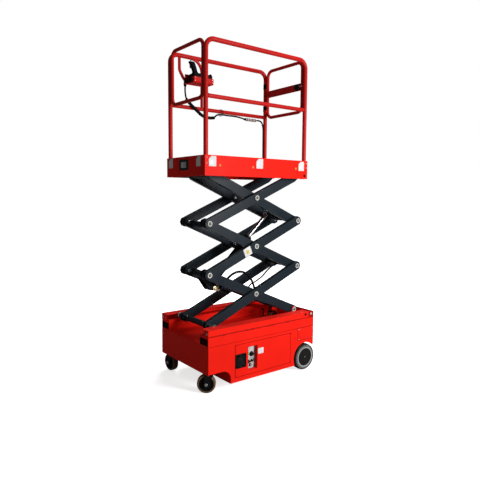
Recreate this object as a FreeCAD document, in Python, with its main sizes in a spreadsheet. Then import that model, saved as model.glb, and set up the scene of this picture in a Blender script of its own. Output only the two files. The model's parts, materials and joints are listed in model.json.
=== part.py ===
import FreeCAD, Part
import Sketcher
import math
import os

Vector = FreeCAD.Vector
Rotation = FreeCAD.Rotation
Placement = FreeCAD.Placement

doc = FreeCAD.newDocument("scissor_lift")
sheet = doc.addObject("Spreadsheet::Sheet", "sizes")

# Driving sizes: name, millimetres or degrees, what it is
size_table = [
    ("chassis_length", 1180, "over the end panels"),
    ("chassis_width", 760, "over the side panels"),
    ("panel", 4, "sheet of the sides, ends and doors"),
    ("pan_plate", 5, "sheet of the base pan"),
    ("underside", 62, "ground clearance"),
    ("side_top", 405, "top of the side and end panels"),
    ("bay_inset", 142, "from the end panel to the centre of the caster arch"),
    ("caster_bay_z", 100, "height of the centre of the caster arch"),
    ("caster_arch", 82, "radius of the caster arch"),
    ("caster_roof", 188, "underside of the pan over the casters"),
    ("end_low", 174, "lower edge of the front end panel"),
    ("rear_low", 226, "lower edge of the rear end panel"),
    ("lip", 20, "bent lip on the front end panel"),
    ("ledge_width", 130, "side rail, from its inner face to the chassis side"),
    ("rail_top", 541, "top of the side rails"),
    ("rail_wall", 6, "wall of the side rails"),
    ("flange_width", 97, "top flange of a side rail"),
    ("track_width", 36, "flat strip that a roller runs on"),
    ("pocket_top", 470, "top of the open square pocket in a rail's end"),
    ("channel_low", 484, "lower edge of the upper rail band"),
    ("band_step", 2, "step between the rail bands"),
    ("flange_cut", 51, "missing stretch of flange at the rear end"),
    ("end_plate_width", 71, "width of a rail's end plate"),
    ("plate_cut", 9, "cut corner of a rail's end plate"),
    ("lash_hole", 12.5, "radius of the lashing holes"),
    ("lash_inset", 27, "from the chassis side to a lashing hole"),
    ("lash_z", 512, "height of the lashing holes"),
    ("door_from_bay", 128, "from the centre of the caster arch to the door"),
    ("door_from_wheel", 181, "from the drive axle to the door"),
    ("door_low", 105, "lower edge of a door"),
    ("door_high", 375, "upper edge of a door"),
    ("door_gap", 5, "gap round a door"),
    ("door_corner", 14, "corner radius of a door"),
    ("knuckle", 4, "radius of a hinge knuckle"),
    ("knuckle_length", 34, "length of a hinge knuckle"),
    ("latch_past_door", 1, "latch edge past the door's edge"),
    ("latch_width", 105, "width of a latch"),
    ("latch_low", 176, "lower edge of a latch"),
    ("latch_high", 297, "upper edge of a latch"),
    ("recess_inset", 133, "from the door's edge to the control recess"),
    ("recess_width", 100, "control recess width"),
    ("recess_low", 140, "control recess lower edge"),
    ("recess_high", 340, "control recess upper edge"),
    ("recess_depth", 30, "depth of the walls of the control recess"),
    ("station_gap", 6, "between the recess walls and the control plate"),
    ("station_depth", 60, "depth of the control cabinet"),
    ("battery_length", 260, "one battery"),
    ("battery_width", 170, "one battery"),
    ("battery_height", 215, "one battery"),
    ("power_length", 250, "hydraulic power unit"),
    ("power_width", 150, "hydraulic power unit"),
    ("power_height", 220, "hydraulic power unit"),
    ("wheel_inset", 109, "from the end panel to the drive axle"),
    ("wheel_radius", 123, "drive wheel"),
    ("wheel_width", 80, "drive wheel"),
    ("wheel_proud", 8, "outer face of a wheel past the chassis side"),
    ("wheel_arch", 137, "radius of a wheel arch"),
    ("hub_radius", 85, "drive hub"),
    ("shoulder", 12, "rounding of a tyre's shoulder"),
    ("axle_radius", 15, "drive axle"),
    ("motor_radius", 58, "drive motor"),
    ("motor_length", 165, "drive motor"),
    ("motor_plate", 8, "plate that carries a motor"),
    ("swivel_inset", 84, "from the end panel to the caster swivel"),
    ("swivel_side", 73, "from the chassis side to the caster swivel"),
    ("caster_trail", 45, "from the swivel to the caster axle"),
    ("caster_radius", 77, "caster wheel"),
    ("caster_width", 50, "caster wheel"),
    ("caster_hub", 62, "radius of a caster's hub"),
    ("caster_axle", 6, "radius of a caster's axle"),
    ("caster_near_turn", 142.5, "swivel of the near caster as parked"),
    ("caster_far_turn", 95, "swivel of the far caster as parked"),
    ("fork_plate", 6, "thickness of a fork's top plate"),
    ("fork_leg", 5, "thickness of a fork's legs"),
    ("fork_side_gap", 4, "between a caster wheel and a fork leg"),
    ("bearing_height", 12, "swivel bearing"),
    ("bearing_radius", 32, "swivel bearing"),
    ("rest_angle", 23.19, "slope of the scissor arms as parked"),
    ("arm_span", 1083, "between the end pins of an arm"),
    ("arm_depth", 80, "arm tube"),
    ("arm_width", 40, "arm tube"),
    ("arm_over", 40, "arm past its end pins"),
    ("arm_chamfer", 24, "cut corners of an arm's ends"),
    ("top_over", 17, "highest arms past the platform's pins"),
    ("top_taper", 62, "length of the slanted cut under the platform's pins"),
    ("top_low", 18, "end of the slanted cut below an arm's middle line"),
    ("arm_gap", 5, "between inner and outer arms"),
    ("arm_wall", 5, "wall of an arm's tube"),
    ("arm_open", 20, "depth of the open end of an arm"),
    ("outer_face", 203, "from the middle to the outer face of an outer arm"),
    ("hinge_inset", 54, "from the end panel to the fixed pins"),
    ("hinge_z", 524, "height of the lowest pins"),
    ("pin_radius", 15, "scissor pins"),
    ("pin_clearance", 0.06, "radial, in the arms' bores"),
    ("washer_radius", 23, "pin washers"),
    ("washer", 6, "thickness of a pin washer"),
    ("roller_radius", 26, "track rollers"),
    ("roller_width", 20, "track rollers"),
    ("roller_side", 5, "from the side rail's inner face to a lower roller"),
    ("upper_roller_radius", 18, "upper track rollers"),
    ("upper_roller_in", 212, "from the middle to an upper roller"),
    ("seat_gap", 0.3, "between a roller or soft part and its seat"),
    ("tie_radius", 30, "cross tubes of the inner arms"),
    ("left_tie", 50, "from the upper pin to the left cross tube"),
    ("right_tie_inset", 90, "from the lower pin to the right cross tube"),
    ("right_tie_drop", 8, "right cross tube below the arm's middle line"),
    ("outer_tie_radius", 26, "cross tube of the lowest outer arms"),
    ("ear", 8, "thickness of the pivot ears"),
    ("ear_radius", 28, "round top of the pivot ears"),
    ("ear_foot", 90, "length of an ear at its foot"),
    ("base_pin_along", 168, "cylinder's lower pin, along the arm from its upper pin"),
    ("base_pin_drop", 76, "cylinder's lower pin, below the arm's middle line"),
    ("eye_inset", 214, "cylinder's upper pin, along the arm from its lower pin"),
    ("eye_drop", 12, "cylinder's upper pin, below the arm's middle line"),
    ("eye_radius", 30, "eyes of the cylinder"),
    ("eye_width", 56, "upper eye of the cylinder"),
    ("base_eye_width", 78, "lower eye of the cylinder"),
    ("lug", 8, "thickness of the cylinder's lugs"),
    ("lug_gap", 3, "between an eye and a lug"),
    ("barrel_radius", 32, "cylinder barrel"),
    ("barrel_length", 600, "from the lower pin to the barrel's mouth"),
    ("barrel_wall", 6, "cylinder barrel"),
    ("rod_radius", 18, "cylinder rod"),
    ("rod_length", 658, "cylinder rod"),
    ("tray_left", 570, "platform edge at the control end, from the middle"),
    ("tray_past_pins", 16, "platform edge at the gate end, past the fixed pins"),
    ("tray_side", 300.6, "from the middle to the platform's side"),
    ("tray_drop", 39.39, "lower edge of the platform's side, below its pins"),
    ("tray_height", 163, "platform's side"),
    ("tray_lip", 22, "lip bent in below"),
    ("floor_step", 92, "platform floor over the lower edge of its side"),
    ("floor_plate", 4, "platform floor"),
    ("track_in", 211, "from the middle to the open side of a platform track"),
    ("track_out", 246, "from the middle to the back of a platform track"),
    ("tray_notch", 230, "half width of the opening under the floor at the gate end"),
    ("hanger_past_pins", 26, "end of the platform's pivot plates, past the pins"),
    ("track_end", 140, "from the middle to the inner end of a platform track"),
    ("rail_radius", 19, "guard rail posts and top rails"),
    ("mid_radius", 17, "guard mid rails"),
    ("post_inset", 23.3, "from the platform's edges to the middle of a post"),
    ("rail_rise", 964, "middle of the top rails over the floor"),
    ("mid_drop", 435, "mid rails below the top rails"),
    ("rail_bend", 75, "bend of the top rails"),
    ("loop_radius", 15, "tube of the end loop and the gate"),
    ("loop_inset", 60.6, "from the platform's edge to the loop's uprights"),
    ("loop_drop", 443, "lower bar of the end loop and gate, below the top rails"),
    ("loop_rise", 2, "upper bar of the end loop and gate, over the top rails"),
    ("loop_bend", 60, "bend of the end loop and gate"),
    ("gate_axis_end", 45.3, "from the platform's end to the gate hinge"),
    ("gate_axis_side", 43.6, "from the platform's side to the gate hinge"),
    ("gate_plate_drop", 218, "middle of the gate's flat plate, below the top rails"),
    ("gate_plate_height", 65, "flat plate of the gate"),
    ("stand_tube", 13, "tube of the control stand"),
    ("stand_left", 455, "left leg of the control stand, from the middle"),
    ("stand_right", 224, "right leg of the control stand, from the middle"),
    ("stand_bend", 110, "bend of the right leg under the top rail"),
    ("stand_drop", 214, "bar of the control stand, below the top rails"),
    ("stand_shoulder", 91, "height of the left leg's first bend over the bar"),
    ("stand_inset", 12, "distance of the left leg's lower bend from the box"),
    ("box_left", 400, "control box, from the middle"),
    ("box_right", 192, "control box, from the middle"),
    ("box_front", 128, "control box, from the middle"),
    ("box_back", 243, "control box, from the middle"),
    ("box_drop", 242, "underside of the control box, below the top rails"),
    ("box_edge", 9, "cut and rounded edges of the control box"),
    ("back_plate", 6, "plate behind the control box"),
    ("box_height", 48, "control box"),
    ("console_height", 34, "black console on the control box"),
    ("cable_radius", 5, "control cable"),
    ("sheath_radius", 12, "sheath and connector on the control cable"),
]


class Size:
    """A number together with the sheet expression that gives it."""

    def __init__(self, value, text):
        self.value = float(value)
        self.text = text

    def __add__(self, other):
        other = as_size(other)
        return Size(self.value + other.value, f"({self.text} + {other.text})")

    def __radd__(self, other):
        return as_size(other) + self

    def __sub__(self, other):
        other = as_size(other)
        return Size(self.value - other.value, f"({self.text} - {other.text})")

    def __rsub__(self, other):
        return as_size(other) - self

    def __mul__(self, other):
        other = as_size(other)
        return Size(self.value * other.value, f"({self.text} * {other.text})")

    def __rmul__(self, other):
        return as_size(other) * self

    def __truediv__(self, other):
        other = as_size(other)
        return Size(self.value / other.value, f"({self.text} / {other.text})")

    def __neg__(self):
        return Size(-self.value, f"(-1 * {self.text})")


def as_size(number):
    """A size from a plain number, or the size itself."""
    if isinstance(number, Size):
        return number
    return Size(number, f"{float(number):.6f}")


size = {}
for row, (alias, number, meaning) in enumerate(size_table, start=1):
    sheet.set(f"A{row}", meaning)
    sheet.set(f"B{row}", str(number))
    sheet.setAlias(f"B{row}", alias)
    size[alias] = Size(number, f"sizes.{alias}")
doc.recompute()

# Sizes that follow from others
half_length = size["chassis_length"] / 2
half_width = size["chassis_width"] / 2
size["ledge_in"] = half_width - size["ledge_width"]
size["flange_in"] = half_width - size["flange_width"]
size["lash_y"] = half_width - size["lash_inset"]
size["wheel_out"] = half_width + size["wheel_proud"]
size["swivel_y"] = half_width - size["swivel_side"]
size["roller_in"] = size["ledge_in"] + size["roller_side"]
size["caster_bay_x"] = half_length - size["bay_inset"]
size["wheel_x"] = half_length - size["wheel_inset"]
size["swivel_x"] = half_length - size["swivel_inset"]
size["hinge_x"] = half_length - size["hinge_inset"]
size["door_left"] = size["caster_bay_x"] - size["door_from_bay"]
size["door_right"] = size["wheel_x"] - size["door_from_wheel"]
size["latch_left"] = size["door_left"] + size["latch_past_door"]
size["recess_left"] = size["door_left"] - size["recess_inset"]
size["right_tie"] = size["arm_span"] - size["right_tie_inset"]
size["eye_along"] = size["arm_span"] - size["eye_inset"]
rise = size["arm_span"].value * math.sin(math.radians(size["rest_angle"].value))
size["top_pins"] = Size(size["hinge_z"].value + 3 * rise,
                        "(sizes.hinge_z + 3 * sizes.arm_span * sin(sizes.rest_angle))")
size["tray_right"] = size["hinge_x"] + size["tray_past_pins"]
size["hanger_end"] = size["hinge_x"] + size["hanger_past_pins"]
size["tray_low"] = size["top_pins"] - size["tray_drop"]
size["tray_high"] = size["tray_low"] + size["tray_height"]
size["floor_top"] = size["tray_low"] + size["floor_step"]
size["post_left"] = size["tray_left"] - size["post_inset"]
size["post_right"] = size["tray_right"] - size["post_inset"]
size["post_side"] = size["tray_side"] - size["post_inset"]
size["rail_height"] = size["floor_top"] + size["rail_rise"]
size["mid_height"] = size["rail_height"] - size["mid_drop"]
size["loop_side"] = size["tray_side"] - size["loop_inset"]
size["loop_low"] = size["rail_height"] - size["loop_drop"]
size["loop_high"] = size["rail_height"] + size["loop_rise"]
size["gate_axis_x"] = size["tray_right"] - size["gate_axis_end"]
size["gate_axis_y"] = size["tray_side"] - size["gate_axis_side"]
size["gate_plate_z"] = size["rail_height"] - size["gate_plate_drop"]
size["stand_low"] = size["rail_height"] - size["stand_drop"]
size["box_low"] = size["rail_height"] - size["box_drop"]
size["box_high"] = size["box_low"] + size["box_height"]
size["console_high"] = size["box_high"] + size["console_height"]


def bind(item, prop, value):
    """Tie a property to the sheet."""
    value = as_size(value)
    if "sizes." in value.text:
        item.setExpression(prop, value.text)
    else:
        setattr(item, prop, value.value)


def put(item, corner, turn=None):
    """Place an item, with an optional turn."""
    corner = [as_size(c) for c in corner]
    base = Vector(*[c.value for c in corner])
    item.Placement = Placement(base, turn or Rotation())
    for axis, value in zip("xyz", corner):
        if "sizes." in value.text:
            item.setExpression(f"Placement.Base.{axis}", value.text)
    return item


turns = {
    "x": Rotation(Vector(0, 1, 0), 90),
    "y": Rotation(Vector(1, 0, 0), -90),
    "z": Rotation(),
}


def block(name, low, high):
    """A block between two corners."""
    item = doc.addObject("Part::Box", name)
    for prop, a, b in zip(("Length", "Width", "Height"), low, high):
        bind(item, prop, as_size(b) - as_size(a))
    return put(item, low)


def rod(name, start, axis, length, radius):
    """A round bar from a point, along an axis."""
    item = doc.addObject("Part::Cylinder", name)
    bind(item, "Radius", radius)
    bind(item, "Height", length)
    return put(item, start, turns[axis])


def ring(name, start, axis, length, outer, inner):
    """A round bar with a bore."""
    bore_start = list(start)
    index = "xyz".index(axis)
    bore_start[index] = as_size(start[index]) - 1
    return cut(name, rod(name + "_solid", start, axis, length, outer),
               [rod(name + "_bore", bore_start, axis, as_size(length) + 2, inner)])


def cut(name, base, tools):
    """The base less the tools."""
    if len(tools) == 1:
        tool = tools[0]
    else:
        tool = doc.addObject("Part::MultiFuse", name + "_tools")
        tool.Shapes = tools
    item = doc.addObject("Part::Cut", name)
    item.Base = base
    item.Tool = tool
    return item


def fuse(name, items):
    """One solid from several."""
    item = doc.addObject("Part::MultiFuse", name)
    item.Shapes = items
    item.Refine = True
    return item


def group(name, items):
    """Several solids that share a node."""
    item = doc.addObject("Part::Compound", name)
    item.Links = items
    return item


def mirrored(name, item):
    """The same thing on the other side of the middle."""
    twin = doc.addObject("Part::Mirroring", name)
    twin.Source = item
    twin.Normal = Vector(0, 1, 0)
    return twin


def both_sides(name, item):
    """A thing and its twin on the other side."""
    return group(name, [item, mirrored(name + "_twin", item)])


plane_roles = {"xy": "XY_Plane", "xz": "XZ_Plane", "yz": "YZ_Plane"}
plane_signs = {"xy": 1, "xz": -1, "yz": 1}


def draw_loop(sketch, points):
    """A closed outline with each corner held by the sheet."""
    first = sketch.GeometryCount
    count = len(points)
    corners = [(as_size(u), as_size(v)) for u, v in points]
    for i in range(count):
        a, b = corners[i], corners[(i + 1) % count]
        line = Part.LineSegment(Vector(a[0].value, a[1].value, 0), Vector(b[0].value, b[1].value, 0))
        sketch.addGeometry(line, False)
    for i in range(count):
        sketch.addConstraint(Sketcher.Constraint("Coincident", first + i, 2, first + (i + 1) % count, 1))
    for i, corner in enumerate(corners):
        for kind, value in zip(("DistanceX", "DistanceY"), corner):
            index = sketch.addConstraint(Sketcher.Constraint(kind, -1, 1, first + i, 1, value.value))
            if "sizes." in value.text:
                sketch.setExpression(f"Constraints[{index}]", value.text)


def draw_circle(sketch, u, v, radius):
    """A round hole held by the sheet."""
    u, v, radius = as_size(u), as_size(v), as_size(radius)
    first = sketch.GeometryCount
    sketch.addGeometry(Part.Circle(Vector(u.value, v.value, 0), Vector(0, 0, 1), radius.value), False)
    rows = [
        (Sketcher.Constraint("DistanceX", -1, 1, first, 3, u.value), u),
        (Sketcher.Constraint("DistanceY", -1, 1, first, 3, v.value), v),
        (Sketcher.Constraint("Radius", first, radius.value), radius),
    ]
    for constraint, value in rows:
        index = sketch.addConstraint(constraint)
        if "sizes." in value.text:
            sketch.setExpression(f"Constraints[{index}]", value.text)


def slab(name, plane, points, low, high, holes=(), loops=()):
    """A padded outline between two levels along the plane's normal."""
    body = doc.addObject("PartDesign::Body", name)
    sketch = body.newObject("Sketcher::SketchObject", name + "_outline")
    datum = [f for f in body.Origin.OriginFeatures if f.Role == plane_roles[plane]][0]
    sketch.AttachmentSupport = (datum, [""])
    sketch.MapMode = "FlatFace"
    sign = plane_signs[plane]
    level = as_size(low) * sign
    sketch.AttachmentOffset = Placement(Vector(0, 0, level.value), Rotation())
    if "sizes." in level.text:
        sketch.setExpression("AttachmentOffset.Base.z", level.text)
    draw_loop(sketch, points)
    for loop in loops:
        draw_loop(sketch, loop)
    for hole in holes:
        draw_circle(sketch, *hole)
    pad = body.newObject("PartDesign::Pad", name + "_pad")
    pad.Profile = sketch
    pad.Reversed = sign < 0
    bind(pad, "Length", as_size(high) - as_size(low))
    body.Tip = pad
    sketch.Visibility = False
    return body


def rounded(name, item, radius, chosen):
    """Round the edges that a rule picks."""
    doc.recompute()
    item_out = doc.addObject("Part::Fillet", name)
    item_out.Base = item
    edges = [n for n, edge in enumerate(item.Shape.Edges, start=1) if chosen(edge)]
    item_out.Edges = [(n, radius.value, radius.value) for n in edges]
    return item_out


def along(edge, axis):
    """Whether an edge is straight and runs along an axis."""
    if len(edge.Vertexes) != 2:
        return False
    a, b = edge.Vertexes[0].Point, edge.Vertexes[1].Point
    others = [k for k in range(3) if k != "xyz".index(axis)]
    return all(abs(a[k] - b[k]) < 1e-6 for k in others) and edge.Curve.TypeId == "Part::GeomLine"


def bent_wire(points, radii):
    """Straight runs joined by tangent arcs."""
    points = [Vector(*p) for p in points]
    edges = []
    start = points[0]
    for i in range(1, len(points) - 1):
        before = (points[i] - points[i - 1]).normalize()
        after = (points[i + 1] - points[i]).normalize()
        turn = before.getAngle(after)
        reach = radii[i - 1] * math.tan(turn / 2)
        first = points[i] - before * reach
        last = points[i] + after * reach
        middle_dir = (after - before).normalize()
        centre = points[i] + middle_dir * (radii[i - 1] / math.cos(turn / 2))
        middle = centre - middle_dir * radii[i - 1]
        edges.append(Part.LineSegment(start, first).toShape())
        edges.append(Part.Arc(first, middle, last).toShape())
        start = last
    edges.append(Part.LineSegment(start, points[-1]).toShape())
    return Part.Wire(edges)


def round_arcs(points):
    """The largest arcs that the runs allow."""
    points = [Vector(*p) for p in points]
    radii = []
    for i in range(1, len(points) - 1):
        before = points[i] - points[i - 1]
        after = points[i + 1] - points[i]
        turn = before.getAngle(after)
        radii.append(0.48 * min(before.Length, after.Length) / math.tan(turn / 2))
    return radii


def swept(points, radius, radii=None):
    """A round tube along a bent line."""
    wire = bent_wire(points, radii or round_arcs(points))
    ahead = (Vector(*points[1]) - Vector(*points[0])).normalize()
    circle = Part.Wire([Part.Circle(Vector(*points[0]), ahead, radius).toShape()])
    tube = wire.makePipeShell([circle], True, False)
    return tube.removeSplitter() if tube.isValid() else tube


def feature(name, shape):
    """An object that holds a ready shape."""
    item = doc.addObject("Part::Feature", name)
    item.Shape = shape
    return item


# Positions that follow from the sizes
panel = size["panel"]
theta = math.radians(size["rest_angle"].value)
stage_rise = rise
stage_reach = size["arm_span"].value * math.cos(theta)
right_x = size["hinge_x"].value
left_x = right_x - stage_reach
level_z = [size["hinge_z"].value + k * stage_rise for k in range(4)]
up_slope = Rotation(Vector(0, 1, 0), -size["rest_angle"].value)
down_slope = Rotation(Vector(0, 1, 0), size["rest_angle"].value)
bore = size["pin_radius"] + size["pin_clearance"]
inner_out = size["outer_face"] - size["arm_width"] - size["arm_gap"]
inner_in = inner_out - size["arm_width"]
outer_in = size["outer_face"] - size["arm_width"]
floor_low = size["floor_top"] - size["floor_plate"]
ledge_low = size["side_top"]
ledge_top = size["hinge_z"] - size["roller_radius"] - size["seat_gap"]
wheel_z = size["wheel_radius"]
wheel_in = size["wheel_out"] - size["wheel_width"]
pan_in = half_width - panel
roof_low = size["wheel_radius"] + size["wheel_arch"]
nodes = []


def keep(item):
    """Make an item a finished piece, with a placement of its own."""
    item.Label = item.Name + "_shape"
    node = group("node_" + item.Name, [item])
    node.Label = item.Name
    nodes.append(node)
    return item


# Base pan, bent over the casters and walled before the drive wheels
def pan_form(name, grow):
    """The outside of the front part of the pan, or the same one sheet further in."""
    low = size["underside"] + grow
    body = block(name + "_body", [-half_length + panel, -pan_in, low],
                 [size["wheel_x"] - size["wheel_arch"] + size["pan_plate"] - grow, pan_in,
                  size["caster_roof"] + size["pan_plate"] + grow])
    bay = block(name + "_bay", [-half_length, -half_width, 0],
                [-size["caster_bay_x"], half_width, size["caster_roof"] + grow])
    arch = rod(name + "_arch", [-size["caster_bay_x"], -half_width, size["caster_bay_z"]], "y",
               size["chassis_width"], size["caster_roof"] - size["caster_bay_z"] + grow)
    return cut(name, body, [bay, arch])


wall_x = size["wheel_x"] - size["wheel_arch"]
pan_shell = cut("pan_shell", pan_form("pan_outer", as_size(0)), [pan_form("pan_inner", size["pan_plate"])])
pan_wall = block("pan_wall", [wall_x, -pan_in, size["underside"]],
                 [wall_x + size["pan_plate"], pan_in, roof_low + size["pan_plate"]])
pan_roof = block("pan_roof", [wall_x, -pan_in, roof_low],
                 [half_length - panel, pan_in, roof_low + size["pan_plate"]])
keep(fuse("base_pan", [pan_shell, pan_wall, pan_roof]))

# End panels, the front one with a lip and the rear one with lashing holes
front_sheet = block("front_sheet", [-half_length, -half_width, size["end_low"]],
                    [-half_length + panel, half_width, size["side_top"]])
front_lip = block("front_lip", [-half_length, -pan_in, size["side_top"] - panel],
                  [-half_length + size["lip"], pan_in, size["side_top"]])
front_panel = fuse("front_panel", [front_sheet, front_lip])
rear_sheet = block("rear_sheet", [half_length - panel, -half_width, size["rear_low"]],
                   [half_length, half_width, size["rail_top"]])
rear_holes = [rod(f"rear_hole_{side}", [half_length - 2 * panel, sign * size["lash_y"], size["lash_z"]],
                  "x", 3 * panel, size["lash_hole"]) for side, sign in (("near", -1), ("far", 1))]
rear_panel = cut("rear_panel", rear_sheet, rear_holes)
keep(group("end_panels", [front_panel, rear_panel]))

# Side panels with their arches and door openings
side_sheet = block("side_sheet", [-half_length + panel, -half_width, size["underside"]],
                   [half_length - panel, -pan_in, size["side_top"]])
bay_cut = block("bay_cut", [-half_length, -half_width - 1, 0],
                [-size["caster_bay_x"], -pan_in + 1, size["caster_bay_z"] + size["caster_arch"]])
caster_cut = rod("caster_cut", [-size["caster_bay_x"], -half_width - 1, size["caster_bay_z"]], "y",
                 panel + 2, size["caster_arch"])
wheel_cut = rod("wheel_cut", [size["wheel_x"], -half_width - 1, wheel_z], "y", panel + 2, size["wheel_arch"])
rear_cut = block("rear_cut", [size["wheel_x"], -half_width - 1, 0],
                 [half_length, -pan_in + 1, size["rear_low"]])
door_hole = block("door_hole", [-size["door_left"] - size["door_gap"], -half_width - 1,
                                size["door_low"] - size["door_gap"]],
                  [size["door_right"] + size["knuckle"] + size["seat_gap"], -pan_in + 1,
                   size["door_high"] + size["door_gap"]])
side_near = keep(cut("side_panel_near", side_sheet, [bay_cut, caster_cut, wheel_cut, rear_cut, door_hole]))
keep(mirrored("side_panel_far", side_near))

# Deck between the side rails
keep(block("deck_floor", [-half_length + size["lip"], -pan_in, size["side_top"] - panel],
           [half_length - panel, pan_in, size["side_top"]]))

# Side rails: a square pocket below, a channel with a roller track above
rail_wall = size["rail_wall"]
band = half_width - size["band_step"]
track_edge = size["ledge_in"] + size["track_width"]
rail_points = [
    (size["ledge_in"], ledge_low), (band, ledge_low), (band, size["channel_low"]),
    (half_width, size["channel_low"]), (half_width, size["rail_top"]),
    (size["flange_in"], size["rail_top"]), (size["flange_in"], size["rail_top"] - panel),
    (half_width - panel, size["rail_top"] - panel), (half_width - panel, size["channel_low"]),
    (track_edge, size["channel_low"]), (track_edge, ledge_top), (size["ledge_in"], ledge_top),
]
pocket_points = [
    (size["ledge_in"] + rail_wall, ledge_low + rail_wall), (band - rail_wall, ledge_low + rail_wall),
    (band - rail_wall, size["pocket_top"]), (size["ledge_in"] + rail_wall, size["pocket_top"]),
]
rail_body = slab("rail_body", "yz", rail_points, -half_length, half_length - panel, loops=[pocket_points])
flange_gap = block("flange_gap", [half_length - size["flange_cut"], size["flange_in"] - 1,
                                  size["rail_top"] - panel],
                   [half_length, half_width - panel, size["rail_top"] + 1])
rail_cut = cut("rail_cut", rail_body, [flange_gap])
end_plate = slab("rail_end_plate", "yz",
                 [(half_width - size["end_plate_width"], size["channel_low"]),
                  (half_width - panel, size["channel_low"]),
                  (half_width - panel, size["rail_top"] - panel),
                  (half_width - size["end_plate_width"] + size["plate_cut"], size["rail_top"] - panel),
                  (half_width - size["end_plate_width"], size["rail_top"] - panel - size["plate_cut"])],
                 -half_length, -half_length + panel,
                 holes=[(size["lash_y"], size["lash_z"], size["lash_hole"])])
rail_far = keep(fuse("side_rail_far", [rail_cut, end_plate]))
keep(mirrored("side_rail_near", rail_far))

# Ears that carry the lowest pins
ear_low = size["side_top"]
ear_points = [
    (size["hinge_x"] - size["ear_foot"] / 2, ear_low), (size["hinge_x"] + 45, ear_low),
    (size["hinge_x"] + size["ear_radius"], size["hinge_z"]),
    (size["hinge_x"] + 14, size["hinge_z"] + 26), (size["hinge_x"] - 14, size["hinge_z"] + 26),
    (size["hinge_x"] - size["ear_radius"], size["hinge_z"]),
]
ear_rows = [("inner", inner_in - size["arm_gap"] - size["ear"]), ("outer", inner_out + size["arm_gap"])]
ears = [slab(f"ear_{label}", "xz", ear_points, y, y + size["ear"],
             holes=[(size["hinge_x"], size["hinge_z"], bore)]) for label, y in ear_rows]
ear_base = block("ear_base", [size["hinge_x"] - size["ear_foot"] / 2, ear_rows[0][1], ear_low],
                 [size["hinge_x"] + 45, ear_rows[1][1] + size["ear"], ear_low + size["ear"]])
keep(both_sides("pivot_brackets", fuse("ear_pair", ears + [ear_base])))

# Batteries behind the far door and the power unit behind the near door
pan_top = size["underside"] + size["pan_plate"]
battery_rows = [("front", -size["battery_length"] - 10), ("rear", as_size(10))]
keep(group("batteries", [
    block(f"battery_{label}", [x, pan_in - 30 - size["battery_width"], pan_top],
          [x + size["battery_length"], pan_in - 30, pan_top + size["battery_height"]])
    for label, x in battery_rows]))
keep(block("power_unit", [as_size(0), -pan_in + 40, pan_top],
           [size["power_length"], -pan_in + 40 + size["power_width"], pan_top + size["power_height"]]))

# Control cabinet behind the recess in the near door
station_front = -half_width + size["recess_depth"] + size["station_gap"]
station = block("station_box", [-size["recess_left"] - 4, station_front, pan_top],
                [-size["recess_left"] + size["recess_width"] + 4, station_front + size["station_depth"],
                 size["recess_high"] + 4])
control_rows = [
    ("button", 24, 268, 11, 7), ("knob", 62, 262, 17, 12),
    ("toggle_one", 32, 206, 5, 14), ("toggle_two", 64, 206, 5, 14), ("key_switch", 48, 168, 12, 9),
]
controls = [rod(f"station_{label}", [-size["recess_left"] + across, station_front - reach, as_size(up)], "y",
                as_size(reach), as_size(radius)) for label, across, up, radius, reach in control_rows]
keep(fuse("control_station", [station] + controls))

# Drive motors with their plates and axle stubs
motor_plate = block("motor_plate", [size["wheel_x"] - 62, wheel_in - 8 - size["motor_plate"], as_size(62)],
                    [size["wheel_x"] + 62, wheel_in - 8, roof_low])
motor_can = rod("motor_can", [size["wheel_x"], wheel_in - 8 - size["motor_plate"] - size["motor_length"],
                              wheel_z], "y", size["motor_length"], size["motor_radius"])
axle_stub = rod("axle_stub", [size["wheel_x"], wheel_in - 8, wheel_z], "y",
                size["wheel_width"], size["axle_radius"])
keep(both_sides("drive_motors", fuse("motor_far", [motor_plate, motor_can, axle_stub])))

# Drive wheels
tyre_body = ring("tyre_body", [size["wheel_x"], wheel_in, wheel_z], "y", size["wheel_width"],
                 size["wheel_radius"], size["hub_radius"])
tyre_far = rounded("drive_tyre_far", tyre_body, size["shoulder"],
                   lambda edge: edge.BoundBox.ZLength > 1.9 * size["wheel_radius"].value
                   and edge.BoundBox.YLength < 1)
hub_disc = rod("hub_disc", [size["wheel_x"], wheel_in + 4, wheel_z], "y",
               size["wheel_width"] - 8, size["hub_radius"])
hub_bore = rod("hub_bore", [size["wheel_x"], wheel_in, wheel_z], "y", size["wheel_width"] - 6,
               size["axle_radius"] + size["pin_clearance"])
hub_back = rod("hub_back", [size["wheel_x"], wheel_in, wheel_z], "y", as_size(34), size["hub_radius"] - 14)
hub_boss = rod("hub_boss", [size["wheel_x"], wheel_in, wheel_z], "y", as_size(40), size["axle_radius"] + 14)
hub_form = fuse("hub_form", [cut("hub_dish", hub_disc, [hub_back]), hub_boss])
hub_far = cut("drive_hub_far", hub_form, [hub_bore])
keep(tyre_far)
keep(hub_far)
keep(mirrored("drive_tyre_near", tyre_far))
keep(mirrored("drive_hub_near", hub_far))

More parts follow.
